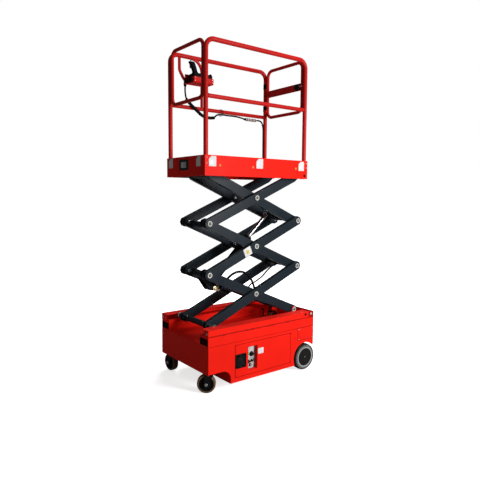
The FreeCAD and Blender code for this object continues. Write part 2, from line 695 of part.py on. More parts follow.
# Casters: mounts on the pan, forks that swivel and wheels that roll
mount_top = size["caster_roof"]
bearing_low = mount_top - size["fork_plate"] - size["bearing_height"]
mount_items = []
caster_rows = [("near", -1, size["caster_near_turn"]), ("far", 1, size["caster_far_turn"])]
for label, sign, turn in caster_rows:
    swivel = [-size["swivel_x"], sign * size["swivel_y"]]
    plate = block(f"caster_plate_{label}", [swivel[0] - 50, swivel[1] - 42.5, mount_top - size["fork_plate"]],
                  [swivel[0] + 50, swivel[1] + 42.5, mount_top])
    bearing = rod(f"caster_bearing_{label}", [swivel[0], swivel[1], bearing_low], "z",
                  size["bearing_height"], size["bearing_radius"])
    mount_items.append(fuse(f"caster_mount_{label}", [plate, bearing]))

    centre = Vector(swivel[0].value, swivel[1].value, 0)
    place = Placement(centre, Rotation(Vector(0, 0, 1), turn.value))
    leg_in = size["caster_width"] / 2 + size["fork_side_gap"]
    trail = size["caster_trail"]
    fork_top = bearing_low - 0.5
    top_plate = block(f"fork_top_{label}",
                      [as_size(-34), -leg_in - size["fork_leg"], fork_top - size["fork_plate"]],
                      [trail + 16, leg_in + size["fork_leg"], fork_top])
    leg_points = [(as_size(-20), fork_top), (trail + 16, fork_top), (trail + 16, size["caster_radius"] - 6),
                  (trail + 6, size["caster_radius"] - 18), (trail - 10, size["caster_radius"] - 18),
                  (trail - 18, size["caster_radius"] - 4)]
    legs = [slab(f"fork_leg_{label}_{n}", "xz", leg_points, y, y + size["fork_leg"])
            for n, y in enumerate((leg_in, -leg_in - size["fork_leg"]))]
    bolt = rod(f"fork_bolt_{label}", [trail, -leg_in - size["fork_leg"] - 6, size["caster_radius"]], "y",
               2 * (leg_in + size["fork_leg"] + 6), size["caster_axle"])
    nuts = [rod(f"fork_nut_{label}_{n}", [trail, y, size["caster_radius"]], "y", as_size(6), as_size(11))
            for n, y in enumerate((leg_in + size["fork_leg"], -leg_in - size["fork_leg"] - 6))]
    fork = fuse(f"caster_fork_{label}", [top_plate] + legs + [bolt] + nuts)
    fork.Placement = place
    keep(fork)

    tread_body = ring(f"tread_body_{label}", [trail, -size["caster_width"] / 2, size["caster_radius"]], "y",
                      size["caster_width"], size["caster_radius"], size["caster_hub"])
    tread = rounded(f"caster_tread_{label}", tread_body, as_size(7),
                    lambda edge: edge.BoundBox.ZLength > 1.9 * size["caster_radius"].value
                    and edge.BoundBox.YLength < 1)
    hub_body = ring(f"caster_hub_body_{label}", [trail, -size["caster_width"] / 2 + 3, size["caster_radius"]],
                    "y", size["caster_width"] - 6, size["caster_hub"],
                    size["caster_axle"] + size["pin_clearance"])
    dishes = [ring(f"caster_dish_{label}_{n}", [trail, y, size["caster_radius"]], "y", as_size(12),
                   size["caster_hub"] - 9, as_size(20))
              for n, y in enumerate((-size["caster_width"] / 2 + 1, size["caster_width"] / 2 - 13))]
    hub = cut(f"caster_hub_{label}", hub_body, dishes)
    for item in (tread, hub):
        item.Placement = place
        keep(item)
keep(group("caster_mounts", mount_items))

# Doors with their hinge knuckles, latches and the control recess
def door_leaf(name, recess):
    """A near-side door leaf."""
    low_x, high_x = -size["door_left"], size["door_right"]
    leaf = block(name + "_sheet", [low_x, -half_width, size["door_low"]],
                 [high_x, -pan_in, size["door_high"]])
    leaf = rounded(name + "_corners", leaf, size["door_corner"],
                   lambda edge: along(edge, "y"))
    knuckles = [rod(f"{name}_knuckle_{n}", [high_x, -half_width, z], "z",
                    size["knuckle_length"], size["knuckle"])
                for n, z in enumerate((size["door_low"] + 24, size["door_high"] - 24 - size["knuckle_length"]))]
    parts = [leaf] + knuckles
    if not recess:
        return fuse(name, parts)
    left = -size["recess_left"]
    right = left + size["recess_width"]
    collar = block(name + "_collar", [left - panel, -half_width, size["recess_low"] - panel],
                   [right + panel, -half_width + size["recess_depth"], size["recess_high"] + panel])
    hole = block(name + "_hole", [left, -half_width - 1, size["recess_low"]],
                 [right, -half_width + size["recess_depth"] + 1, size["recess_high"]])
    return cut(name, fuse(name + "_form", parts + [collar]), [hole])


def latch_piece(name):
    """A near-side paddle latch, dished where the hand goes."""
    left = -size["latch_left"] + 3
    right = left + size["latch_width"]
    frame = block(name + "_frame", [left, -half_width - 3, size["latch_low"]],
                  [right, -half_width, size["latch_high"]])
    return rounded(name, frame, as_size(12), lambda edge: along(edge, "y"))


keep(door_leaf("door_near", True))
keep(latch_piece("latch_near"))
keep(mirrored("door_far", door_leaf("door_plain", False)))
keep(mirrored("latch_far", latch_piece("latch_plain")))


# Scissor arms: a tube with cut corners and three bores
def arm_end(reach, sign, slanted):
    """The outline of an arm's end, from its lower edge to its upper edge."""
    over, cut_off, half = size["arm_over"], size["arm_chamfer"], size["arm_depth"] / 2
    low = [(over - cut_off, -half), (over, -half + cut_off)]
    high = [(over, half - cut_off), (over - cut_off, half)]
    if slanted:
        over, cut_off = size["top_over"], size["top_over"] / 2
        low = [(-size["top_taper"], -half), (over, -size["top_low"])]
        high = [(over, half - cut_off), (over - cut_off, half)]
    return [(reach + sign * out, up) for out, up in low + high]


def arm_tube(name, y_low, place, slanted_start, slanted_end):
    """One arm from its first pin along local X."""
    span = size["arm_span"]
    points = arm_end(span, 1, slanted_end) + arm_end(as_size(0), -1, slanted_start)[::-1]
    holes = [(x, as_size(0), bore) for x in (as_size(0), span / 2, span)]
    arm = slab(name + "_bar", "xz", points, y_low, y_low + size["arm_width"], holes=holes)
    wall, half = size["arm_wall"], size["arm_depth"] / 2
    mouths = []
    end_rows = (("start", slanted_start, as_size(0), -1), ("end", slanted_end, span, 1))
    for label, slanted, reach, sign in end_rows:
        if not slanted:
            tip = reach + sign * (size["arm_over"] + 1)
            inner_end = reach + sign * (size["arm_over"] - size["arm_open"])
            low, high = (tip, inner_end) if sign < 0 else (inner_end, tip)
            mouths.append(block(f"{name}_{label}_mouth", [low, y_low + wall, -half + wall],
                                [high, y_low + size["arm_width"] - wall, half - wall]))
    tube = cut(name, arm, mouths)
    tube.Placement = place
    return tube


def rest_place(start, turn):
    """The place of an arm whose first pin is at a point of the side view."""
    return Placement(Vector(start[0], 0, start[1]), turn)


inner_places = [rest_place((left_x, level_z[k + 1]), down_slope) for k in range(3)]
outer_places = [rest_place((left_x, level_z[k]), up_slope) for k in range(3)]
for k in range(3):
    for family, place, y_low in (("inner", inner_places[k], inner_in), ("outer", outer_places[k], outer_in)):
        arms = [arm_tube(f"{family}_arm_{k + 1}_{side}", y, place,
                         k == 2 and family == "inner", k == 2 and family == "outer")
                for side, y in (("near", -y_low - size["arm_width"]), ("far", y_low))]
        keep(group(f"{family}_arms_{k + 1}", arms))


# Cross tubes of the inner arms, with the cylinder's lugs on the first and third
def lug_plate(name, points, y_low):
    """One lug of the cylinder's mount."""
    return slab(name, "xz", points, y_low, y_low + size["lug"])


lug_in = size["eye_width"] / 2 + size["lug_gap"]
lug_rows = (("near", -lug_in - size["lug"]), ("far", lug_in))
base_lug_in = size["base_eye_width"] / 2 + size["lug_gap"]
base_lug_rows = (("near", -base_lug_in - size["lug"]), ("far", base_lug_in))
for k in range(3):
    tie_left = rod(f"tie_left_{k + 1}", [size["left_tie"], -inner_in, as_size(0)], "y",
                   2 * inner_in, size["tie_radius"])
    tie_right = rod(f"tie_right_{k + 1}", [size["right_tie"], -inner_in, -size["right_tie_drop"]], "y",
                    2 * inner_in, size["tie_radius"])
    left_parts, right_parts = [tie_left], [tie_right]
    if k == 0:
        px, pz = size["base_pin_along"], -size["base_pin_drop"]
        points = [(size["left_tie"] - 22, as_size(14)), (size["left_tie"] + 22, as_size(20)),
                  (px + 28, pz + 8), (px + 24, pz - 20), (px, pz - 28), (px - 26, pz - 14),
                  (size["left_tie"] - 22, as_size(-18))]
        left_parts += [lug_plate(f"base_lug_{side}", points, y) for side, y in base_lug_rows]
        left_parts.append(rod("base_pin", [px, -base_lug_in - size["lug"] - 6, pz], "y",
                              2 * (base_lug_in + size["lug"] + 6), size["pin_radius"]))
    if k == 2:
        px, pz = size["eye_along"], -size["eye_drop"]
        points = [(size["right_tie"] + 20, as_size(12)), (size["right_tie"] - 20, as_size(18)),
                  (px + 4, pz + 28), (px - 22, pz + 18), (px - 28, pz - 8), (px - 12, pz - 26),
                  (size["right_tie"] + 20, -size["right_tie_drop"] - 24)]
        right_parts += [lug_plate(f"eye_lug_{side}", points, y) for side, y in lug_rows]
        right_parts += [rod(f"eye_head_{side}", [px, y, pz], "y", as_size(6), size["pin_radius"] + 5)
                        for side, y in (("near", -lug_in - size["lug"] - 6), ("far", lug_in + size["lug"]))]
    left_item = fuse(f"tie_left_form_{k + 1}", left_parts) if len(left_parts) > 1 else tie_left
    right_item = fuse(f"tie_right_form_{k + 1}", right_parts) if len(right_parts) > 1 else tie_right
    ties = group(f"inner_ties_{k + 1}", [left_item, right_item])
    ties.Placement = inner_places[k]
    keep(ties)

tie_item = rod("outer_tie_1", [as_size(0), -outer_in, as_size(0)], "y", 2 * outer_in,
               size["outer_tie_radius"])
tie_item.Placement = Placement(Vector(left_x, -outer_in.value, level_z[0]), turns["y"])
keep(tie_item)


# Pins with washers on their outer ends, as turned solids
def pin(name, x, z, y_start, y_end, washer=True):
    """A far-side pin between two distances from the middle."""
    place = Placement(Vector(x, 0, z), Rotation())
    shaft = rod(name + "_shaft", [0, y_start, 0], "y", as_size(y_end) - as_size(y_start), size["pin_radius"])
    if washer:
        head = rod(name + "_washer", [0, as_size(y_end) - size["washer"], 0], "y", size["washer"],
                   size["washer_radius"])
        item = fuse(name, [shaft, head])
    else:
        item = shaft
    item_group = group(name + "_placed", [item])
    item_group.Placement = place
    return item_group


pin_start = inner_in - 6
pin_end = size["outer_face"] + size["seat_gap"] + size["washer"]
centre_x = (left_x + right_x) / 2
ear_out = ear_rows[1][1] + size["ear"] + size["seat_gap"] + size["washer"]
pin_table = {
    "inner_pins_1": [(right_x, level_z[0], ear_rows[0][1] - 4, ear_out),
                     (left_x, level_z[1], pin_start, pin_end)],
    "inner_pins_2": [(left_x, level_z[2], pin_start, pin_end)],
    "outer_pins_1": [(centre_x, (level_z[0] + level_z[1]) / 2, pin_start, pin_end),
                     (right_x, level_z[1], pin_start, pin_end)],
    "outer_pins_2": [(centre_x, (level_z[1] + level_z[2]) / 2, pin_start, pin_end),
                     (right_x, level_z[2], pin_start, pin_end)],
    "outer_pins_3": [(centre_x, (level_z[2] + level_z[3]) / 2, pin_start, pin_end),
                     (right_x, level_z[3], outer_in - size["arm_gap"] - size["ear"] - 4,
                      size["outer_face"] + size["arm_gap"] + size["ear"] + size["seat_gap"] + size["washer"])],
}
roller_end = size["roller_in"] + size["roller_width"]
for name, rows in pin_table.items():
    items = []
    for n, (x, z, y_start, y_end) in enumerate(rows):
        far_pin = pin(f"{name}_{n}", x, z, y_start, y_end)
        items += [far_pin, mirrored(f"{name}_{n}_twin", far_pin)]
    if name == "outer_pins_1":
        shaft = pin("roller_shaft", left_x, level_z[0], outer_in + 1, roller_end + 2, washer=False)
        items += [shaft, mirrored("roller_shaft_twin", shaft)]
    keep(group(name, items))

# Rollers: the lower ones on the side rails, the upper ones in the platform's tracks
lower_roller = ring("lower_roller", [as_size(0), size["roller_in"], as_size(0)], "y", size["roller_width"],
                    size["roller_radius"], bore)
lower_placed = group("lower_roller_placed", [lower_roller])
lower_placed.Placement = Placement(Vector(left_x, 0, level_z[0]), Rotation())
keep(both_sides("lower_rollers", lower_placed))
upper_wheel = rod("upper_wheel", [0, size["upper_roller_in"], 0], "y", size["roller_width"],
                  size["upper_roller_radius"])
upper_shaft = rod("upper_shaft", [0, inner_in + 1, 0], "y",
                  size["upper_roller_in"] + size["roller_width"] + 1 - inner_in, size["pin_radius"])
upper_roller = fuse("upper_roller", [upper_wheel, upper_shaft])
upper_placed = group("upper_roller_placed", [upper_roller])
upper_placed.Placement = Placement(Vector(left_x, 0, level_z[3]), Rotation())
keep(both_sides("upper_rollers", upper_placed))


# Lifting cylinder
def on_arm(place, x, z):
    """A point of an arm's own side view, in the part's frame."""
    return place.multVec(Vector(x, 0, z))


base_point = on_arm(inner_places[0], size["base_pin_along"].value, -size["base_pin_drop"].value)
eye_point = on_arm(inner_places[2], size["eye_along"].value, -size["eye_drop"].value)
reach_vector = eye_point - base_point
cylinder_length = reach_vector.Length
cylinder_slope = math.degrees(math.atan2(reach_vector.z, reach_vector.x))
cylinder_place = Placement(base_point, Rotation(Vector(0, 1, 0), -cylinder_slope))
half_eye, half_base = size["eye_width"] / 2, size["base_eye_width"] / 2
barrel_tube = rod("barrel_tube", [as_size(34), as_size(0), as_size(0)], "x",
                  size["barrel_length"] - 34, size["barrel_radius"])
barrel_collar = rod("barrel_collar", [size["barrel_length"] - 34, as_size(0), as_size(0)], "x",
                    as_size(34), size["barrel_radius"] + 5)
barrel_eye = rod("barrel_eye", [as_size(0), -half_base, as_size(0)], "y", size["base_eye_width"],
                 size["eye_radius"])
barrel_neck = block("barrel_neck", [as_size(0), -half_base + 8, as_size(-24)],
                    [as_size(38), half_base - 8, as_size(24)])
barrel_port = rod("barrel_port", [as_size(62), as_size(0), -size["barrel_radius"] - 14], "z",
                  as_size(20), as_size(11))
barrel_form = fuse("barrel_form", [barrel_tube, barrel_collar, barrel_eye, barrel_neck, barrel_port])
barrel_inside = rod("barrel_inside", [as_size(44), as_size(0), as_size(0)], "x",
                    size["barrel_length"] - 20 - 44, size["barrel_radius"] - size["barrel_wall"])
barrel_mouth = rod("barrel_mouth", [size["barrel_length"] - 21, as_size(0), as_size(0)], "x",
                   as_size(22), size["rod_radius"] + size["pin_clearance"])
barrel_bore = rod("barrel_bore", [as_size(0), -half_base - 1, as_size(0)], "y", size["base_eye_width"] + 2,
                  bore)
barrel = cut("cylinder_barrel", barrel_form, [barrel_inside, barrel_mouth, barrel_bore])
barrel.Placement = cylinder_place
keep(barrel)
rod_bar = rod("rod_bar", [cylinder_length - size["rod_length"], as_size(0), as_size(0)], "x",
              size["rod_length"] - 10, size["rod_radius"])
rod_eye = rod("rod_eye", [cylinder_length, -half_eye, as_size(0)], "y", size["eye_width"], size["eye_radius"])
rod_item = fuse("cylinder_rod", [rod_bar, rod_eye])
rod_item.Placement = cylinder_place
keep(rod_item)

# Hydraulic hoses, each on one smooth line
loop_points = [(-262, -52, 790), (-240, -62, 816), (-192, -72, 874), (-120, -80, 925), (-40, -86, 934),
               (28, -91, 900), (80, -94, 838), (107, -96, 761), (150, -98, 692), (260, -103, 640),
               (410, -110.7, 584)]
keep(feature("hose_loop", swept(loop_points, 7)))
link_points = [(421.1, -62, 970.2), (350, -60, 950), (286, -58, 906), (226, -56, 852), (150, -55, 816),
               (86, -60, 799), (50, -78, 776), (38.5, -104.7, 734)]
keep(feature("hose_link", swept(link_points, 7)))

# Platform tray, floor and underframe
tray_outer = block("tray_outer", [-size["tray_left"], -size["tray_side"], size["tray_low"]],
                   [size["tray_right"], size["tray_side"], size["tray_high"]])
tray_inner = block("tray_inner", [-size["tray_left"] + panel, -size["tray_side"] + panel,
                                  size["tray_low"] + panel],
                   [size["tray_right"] - panel, size["tray_side"] - panel, size["tray_high"] + 1])
tray_mouth = block("tray_mouth", [-size["tray_left"] + size["tray_lip"], -size["tray_side"] + size["tray_lip"],
                                  size["tray_low"] - 1],
                   [size["tray_right"] - size["tray_lip"], size["tray_side"] - size["tray_lip"],
                    size["tray_low"] + panel + 1])
tray_notch = block("tray_notch", [size["tray_right"] - size["tray_lip"] - 1, -size["tray_notch"],
                                  size["tray_low"] - 1],
                   [size["tray_right"] + 1, size["tray_notch"], floor_low])
keep(cut("platform_tray", tray_outer, [tray_inner, tray_mouth, tray_notch]))
keep(block("platform_floor", [-size["tray_left"] + panel, -size["tray_side"] + panel, floor_low],
           [size["tray_right"] - panel, size["tray_side"] - panel, size["floor_top"]]))
track_top = as_size(level_z[3]) - size["upper_roller_radius"] - size["seat_gap"]
track_points = [
    (size["track_in"], track_top - 7), (size["track_out"], track_top - 7), (size["track_out"], floor_low),
    (size["track_out"] - 6, floor_low), (size["track_out"] - 6, track_top), (size["track_in"], track_top),
]
track_far = slab("track_far", "yz", track_points, -size["tray_left"] + panel, -size["track_end"])
hanger_rows = [("inner", outer_in - size["arm_gap"] - size["ear"]),
               ("outer", size["outer_face"] + size["arm_gap"])]
hanger_points = [
    (size["hinge_x"] - 50, floor_low), (size["hinge_x"] - 28, as_size(level_z[3])),
    (size["hinge_x"] - 14, as_size(level_z[3]) - 26), (size["hinge_x"] + 8, as_size(level_z[3]) - 26),
    (size["hanger_end"], as_size(level_z[3]) - 12), (size["hanger_end"], as_size(level_z[3]) + 16),
    (size["tray_right"] - panel, floor_low),
]
hangers = [slab(f"hanger_{label}", "xz", hanger_points, y, y + size["ear"],
                holes=[(size["hinge_x"], as_size(level_z[3]), bore)]) for label, y in hanger_rows]
far_under = [track_far] + hangers
keep(group("platform_underframe", far_under + [mirrored(f"under_twin_{n}", item)
                                               for n, item in enumerate(far_under)]))


# Guard rails from straight tubes and quarter bends
def bend(name, centre, axis, start_angle, radius, tube):
    """A quarter of a round tube about an axis through its centre."""
    item = doc.addObject("Part::Torus", name)
    bind(item, "Radius1", radius)
    bind(item, "Radius2", tube)
    item.Angle3 = 90
    frames = {
        "y": Rotation(Vector(1, 0, 0), Vector(0, 0, 1), Vector(0, -1, 0)),
        "x": Rotation(Vector(0, 1, 0), Vector(0, 0, 1), Vector(1, 0, 0)),
        "z": Rotation(),
    }
    turn = frames[axis].multiply(Rotation(Vector(0, 0, 1), start_angle))
    return put(item, centre, turn)


def side_rail(name, y):
    """A side guard: two posts, a top rail and a mid rail."""
    left, right = -size["post_left"], size["post_right"]
    top, turn_r, tube = size["rail_height"], size["rail_bend"], size["rail_radius"]
    foot = size["floor_top"]
    pieces = [
        rod(name + "_post_left", [left, y, foot], "z", top - turn_r - foot, tube),
        rod(name + "_post_right", [right, y, foot], "z", top - turn_r - foot, tube),
        rod(name + "_top", [left + turn_r, y, top], "x", right - left - 2 * turn_r, tube),
        bend(name + "_bend_left", [left + turn_r, y, top - turn_r], "y", 90, turn_r, tube),
        bend(name + "_bend_right", [right - turn_r, y, top - turn_r], "y", 0, turn_r, tube),
        rod(name + "_mid", [left, y, size["mid_height"]], "x", right - left, size["mid_radius"]),
    ]
    return fuse(name, pieces)


keep(side_rail("guard_rail_near", -size["post_side"]))
far_rail = side_rail("guard_rail_far_frame", size["post_side"])
gate_hinge_levels = (("low", size["rail_height"] - 380), ("high", size["rail_height"] - 180))
hinge_pin, hinge_barrel, hinge_half = as_size(5), as_size(9), as_size(12)
gate_bore = hinge_pin + size["pin_clearance"]
post_hinges = []
for label, z in gate_hinge_levels:
    foot = z - hinge_half - size["seat_gap"] - 16
    knuckle = rod(f"post_knuckle_{label}", [size["gate_axis_x"], size["gate_axis_y"], foot], "z",
                  as_size(16), hinge_barrel)
    pivot = rod(f"post_pivot_{label}", [size["gate_axis_x"], size["gate_axis_y"], foot], "z",
                2 * hinge_half + 19, hinge_pin)
    bracket = block(f"post_bracket_{label}", [size["gate_axis_x"] - 4, size["gate_axis_y"], foot],
                    [size["gate_axis_x"] + 10, size["gate_axis_y"] + 12, foot + 16])
    post_hinges.append(fuse(f"post_hinge_{label}", [knuckle, pivot, bracket]))
keep(fuse("guard_rail_far", [far_rail] + post_hinges))


def cross_loop(name, x):
    """An upright rounded loop across the platform."""
    side, low, high = size["loop_side"], size["loop_low"], size["loop_high"]
    turn_r, tube = size["loop_bend"], size["loop_radius"]
    return [
        rod(name + "_near", [x, -side, low + turn_r], "z", high - low - 2 * turn_r, tube),
        rod(name + "_far", [x, side, low + turn_r], "z", high - low - 2 * turn_r, tube),
        rod(name + "_low", [x, -side + turn_r, low], "y", 2 * (side - turn_r), tube),
        rod(name + "_high", [x, -side + turn_r, high], "y", 2 * (side - turn_r), tube),
        bend(name + "_bend_a", [x, side - turn_r, high - turn_r], "x", 0, turn_r, tube),
        bend(name + "_bend_b", [x, -side + turn_r, high - turn_r], "x", 90, turn_r, tube),
        bend(name + "_bend_c", [x, -side + turn_r, low + turn_r], "x", 180, turn_r, tube),
        bend(name + "_bend_d", [x, side - turn_r, low + turn_r], "x", 270, turn_r, tube),
    ]


end_x = -size["post_left"]
tab_reach = size["post_side"] - size["rail_radius"] - size["seat_gap"]
tab_width = tab_reach - size["loop_side"]
end_tabs = [block(f"end_tab_{side}_{n}", [end_x - 3, y, z], [end_x + 3, y + tab_width, z + 40])
            for side, y in (("far", size["loop_side"]), ("near", -tab_reach))
            for n, z in enumerate((size["loop_low"] + 70, size["loop_high"] - 110))]
keep(fuse("end_loop", cross_loop("end_loop_tube", end_x) + end_tabs))

gate_x = size["post_right"]
plate_end = size["loop_side"] - 6
half_plate = size["gate_plate_height"] / 2
gate_plate = block("gate_plate", [gate_x - 3, -plate_end, size["gate_plate_z"] - half_plate],
                   [gate_x + 3, plate_end, size["gate_plate_z"] + half_plate])
gate_leaves = [block(f"gate_leaf_{label}", [size["gate_axis_x"] - 3, size["loop_side"] - 4, z - 12],
                     [gate_x - 6, size["loop_side"] + 2, z + 12]) for label, z in gate_hinge_levels]
gate_eyes = [fuse(f"gate_eye_{label}",
                  [ring(f"gate_barrel_{label}", [size["gate_axis_x"], size["gate_axis_y"], z - hinge_half],
                        "z", 2 * hinge_half, hinge_barrel, gate_bore),
                   block(f"gate_bridge_{label}", [size["gate_axis_x"] - 3, size["loop_side"] - 4, z - 12],
                         [size["gate_axis_x"] + 3, size["gate_axis_y"] - 7, z + 12])])
             for label, z in gate_hinge_levels]
gate_frame = fuse("gate_frame", cross_loop("gate_tube", gate_x) + [gate_plate])
keep(fuse("gate", [gate_frame] + [fuse(f"gate_hinge_{n}", [leaf, eye])
                                  for n, (leaf, eye) in enumerate(zip(gate_leaves, gate_eyes))]))
latch_case = block("gate_latch", [gate_x - 20, -size["loop_side"] + 18, size["gate_plate_z"] - 22],
                   [gate_x - 3, -size["loop_side"] + 88, size["gate_plate_z"] + 22])
keep(latch_case)

# Control stand: a bent tube behind the box, and a brace that bends into the top rail
box_rear = size["box_back"] + size["back_plate"]
stand_y = (box_rear + size["seat_gap"] + size["stand_tube"]).value
post_y = size["post_side"].value
shoulder = (size["stand_low"] + size["stand_shoulder"]).value
mid_over = (size["mid_height"] + size["mid_radius"] + size["seat_gap"]).value
rail_under = size["rail_height"].value - size["rail_radius"].value - size["seat_gap"].value
brace_x = -size["stand_right"].value
brace_top = rail_under + size["stand_tube"].value - 2
leg_bend = 0.5 * size["stand_bend"].value
leg_points = [
    (-size["stand_left"].value, post_y, rail_under),
    (-size["stand_left"].value, post_y, shoulder),
    (-size["box_left"].value - size["stand_inset"].value, stand_y, size["stand_low"].value),
    (brace_x - size["stand_tube"].value - size["seat_gap"].value, stand_y, size["stand_low"].value),
]
stand_leg = feature("stand_leg", swept(leg_points, size["stand_tube"].value, [leg_bend, leg_bend]))
brace_points = [
    (brace_x, post_y, mid_over),
    (brace_x, post_y, brace_top),
    (brace_x - size["stand_bend"].value - 1, post_y, brace_top),
]
brace_tube = feature("brace_tube", swept(brace_points, size["stand_tube"].value, [size["stand_bend"].value]))
brace_notch = rod("brace_notch", [-size["post_left"], size["post_side"], size["rail_height"]], "x",
                  size["post_left"], size["rail_radius"] + size["seat_gap"])
keep(group("control_stand", [stand_leg, cut("stand_brace", brace_tube, [brace_notch])]))

# Control box with its back plate, a cut edge along the front and the gland of the cable
edge = size["box_edge"]
box_points = [(size["box_front"], size["box_low"] + edge), (size["box_front"] + edge, size["box_low"]),
              (size["box_back"], size["box_low"]), (size["box_back"], size["box_high"]),
              (size["box_front"], size["box_high"])]
box_body = slab("box_body", "yz", box_points, -size["box_left"], -size["box_right"])
box_form = rounded("box_form", box_body, edge,
                   lambda found: along(found, "z") and found.Vertexes[0].Y < size["box_front"].value + 1)
back_plate = block("back_plate", [-size["box_left"] - 18, size["box_back"], size["box_low"] - 4],
                   [-size["box_right"] + 4, size["box_back"] + size["back_plate"], size["console_high"]])
gland = block("cable_gland", [-size["box_left"] - 18, box_rear, size["box_low"] - 4],
              [-size["box_left"] + 2, box_rear + 22, size["box_low"] + 12])
keep(fuse("control_box", [box_form, back_plate, gland]))

# Black console with a guard at its end, and the joystick
console_low = size["box_high"] + size["seat_gap"]
console_points = [(size["box_front"] + 4, console_low), (size["box_back"] - 1, console_low),
                  (size["box_back"] - 1, size["console_high"] - 12),
                  (size["box_front"] + 34, size["console_high"]),
                  (size["box_front"] + 4, size["console_high"] - 8)]
console = slab("console", "yz", console_points, -size["box_left"] + 8, -size["box_right"] - 20)
guard_top = size["console_high"] + 10
guard_points = [(-size["box_right"] - 30, console_low), (-size["box_right"] - 12, console_low),
                (-size["box_right"] - 20, guard_top), (-size["box_right"] - 28, guard_top)]
guard = slab("console_guard", "xz", guard_points, size["box_front"] + 6, size["box_back"] - 6)
grip_rows = [(38, 26), (78, 26), (69, 64), (35, 131), (26, 148), (-5, 142), (0, 127), (6, 122), (1, 107),
             (28, 64)]
grip_outline = [(x - size["box_left"], size["box_high"] + z) for x, z in grip_rows]
grip_body = slab("grip_body", "xz", grip_outline, as_size(184), as_size(216))
grip = rounded("grip", grip_body, as_size(7), lambda found: not along(found, "y"))
boot = rod("grip_boot", [58 - size["box_left"], as_size(200), console_low], "z",
           size["console_high"] + 10 - console_low, as_size(27))
keep(fuse("joystick", [console, guard, boot, grip]))

# Control cable from its gland, through a sheath and connector, under the mid rail and down the post
cable_rows = [(-408, 260, -246.3), (-411, 258, -310), (-404, 250, -370), (-368, 244, -408),
              (-300, 243, -458), (-238, 244, -502), (-165, 248, -511), (-105, 254, -502), (-72, 262, -472),
              (-20, 266, -462), (60, 268, -464), (150, 268, -462), (225, 268, -470), (290, 268, -482),
              (365, 268, -484), (430, 268, -473), (478, 270, -482), (504.4, 277.3, -540)]
cable_points = [(x, y, size["rail_height"].value + z) for x, y, z in cable_rows]
cable_points.append((504.4, 277.3, size["floor_top"].value + size["seat_gap"].value))
cable = swept(cable_points, size["cable_radius"].value)
sheath = swept(cable_points[2:8], size["sheath_radius"].value)
keep(feature("control_cable", cable.fuse(sheath)))

doc.recompute()

# Check every object before anything is written
problems = []
for item in doc.Objects:
    if "Invalid" in item.State or "Error" in item.State:
        problems.append(f"{item.Name}: {item.State}")
for item in nodes:
    if item.Shape.isNull() or not item.Shape.isValid():
        problems.append(f"{item.Name}: null or not valid")
if problems:
    raise RuntimeError("; ".join(problems))

# The origin lies on the floor, under the middle of the whole machine's box
boxes = [item.Shape.optimalBoundingBox(False, False) for item in nodes]
middle = Vector((min(b.XMin for b in boxes) + max(b.XMax for b in boxes)) / 2,
                (min(b.YMin for b in boxes) + max(b.YMax for b in boxes)) / 2,
                min(b.ZMin for b in boxes))
for item in nodes:
    item.Placement = Placement(-middle, Rotation())
doc.recompute()

os.makedirs("parts", exist_ok=True)
for item in nodes:
    item.Shape.exportStep(f"parts/{item.Label}.step")
    box = item.Shape.BoundBox
    print(f"{item.Label}: {len(item.Shape.Solids)} solids, {item.Shape.Volume / 1e6:.3f} l, "
          f"x {box.XMin:.0f} to {box.XMax:.0f}, y {box.YMin:.0f} to {box.YMax:.0f}, "
          f"z {box.ZMin:.0f} to {box.ZMax:.0f}")
print("middle of the box", middle)
print(len(nodes), "nodes; cylinder", round(cylinder_length, 2), round(cylinder_slope, 3))
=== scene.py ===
import bpy
import json
import math
import random
from mathutils import Matrix, Vector

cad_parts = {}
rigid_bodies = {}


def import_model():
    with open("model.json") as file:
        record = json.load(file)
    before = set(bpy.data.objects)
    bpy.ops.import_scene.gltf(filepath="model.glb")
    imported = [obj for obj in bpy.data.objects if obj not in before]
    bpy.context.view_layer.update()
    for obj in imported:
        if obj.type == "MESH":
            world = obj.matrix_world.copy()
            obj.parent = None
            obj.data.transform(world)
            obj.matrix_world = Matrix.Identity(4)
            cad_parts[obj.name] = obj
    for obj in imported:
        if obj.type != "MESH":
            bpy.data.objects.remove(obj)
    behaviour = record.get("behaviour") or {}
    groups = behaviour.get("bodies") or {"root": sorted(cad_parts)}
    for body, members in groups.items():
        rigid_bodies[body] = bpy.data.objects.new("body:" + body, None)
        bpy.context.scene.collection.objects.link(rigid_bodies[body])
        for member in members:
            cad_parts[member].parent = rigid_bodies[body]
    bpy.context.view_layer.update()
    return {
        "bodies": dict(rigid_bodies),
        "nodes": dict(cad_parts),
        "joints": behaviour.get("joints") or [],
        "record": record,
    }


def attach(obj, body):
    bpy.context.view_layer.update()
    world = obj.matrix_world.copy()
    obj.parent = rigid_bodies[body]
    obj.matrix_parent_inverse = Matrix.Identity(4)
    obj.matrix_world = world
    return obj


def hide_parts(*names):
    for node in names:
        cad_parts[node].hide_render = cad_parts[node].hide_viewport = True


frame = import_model()
nodes = frame["nodes"]
print("frame loaded")

shift = Vector((0.0055967, -0.0210656, 0.0))  # chassis middle, seen from the part's origin


def at(x, y, z):
    # millimetres from the chassis middle, as a point of the frame
    return Vector((x, y, z)) / 1000 + shift


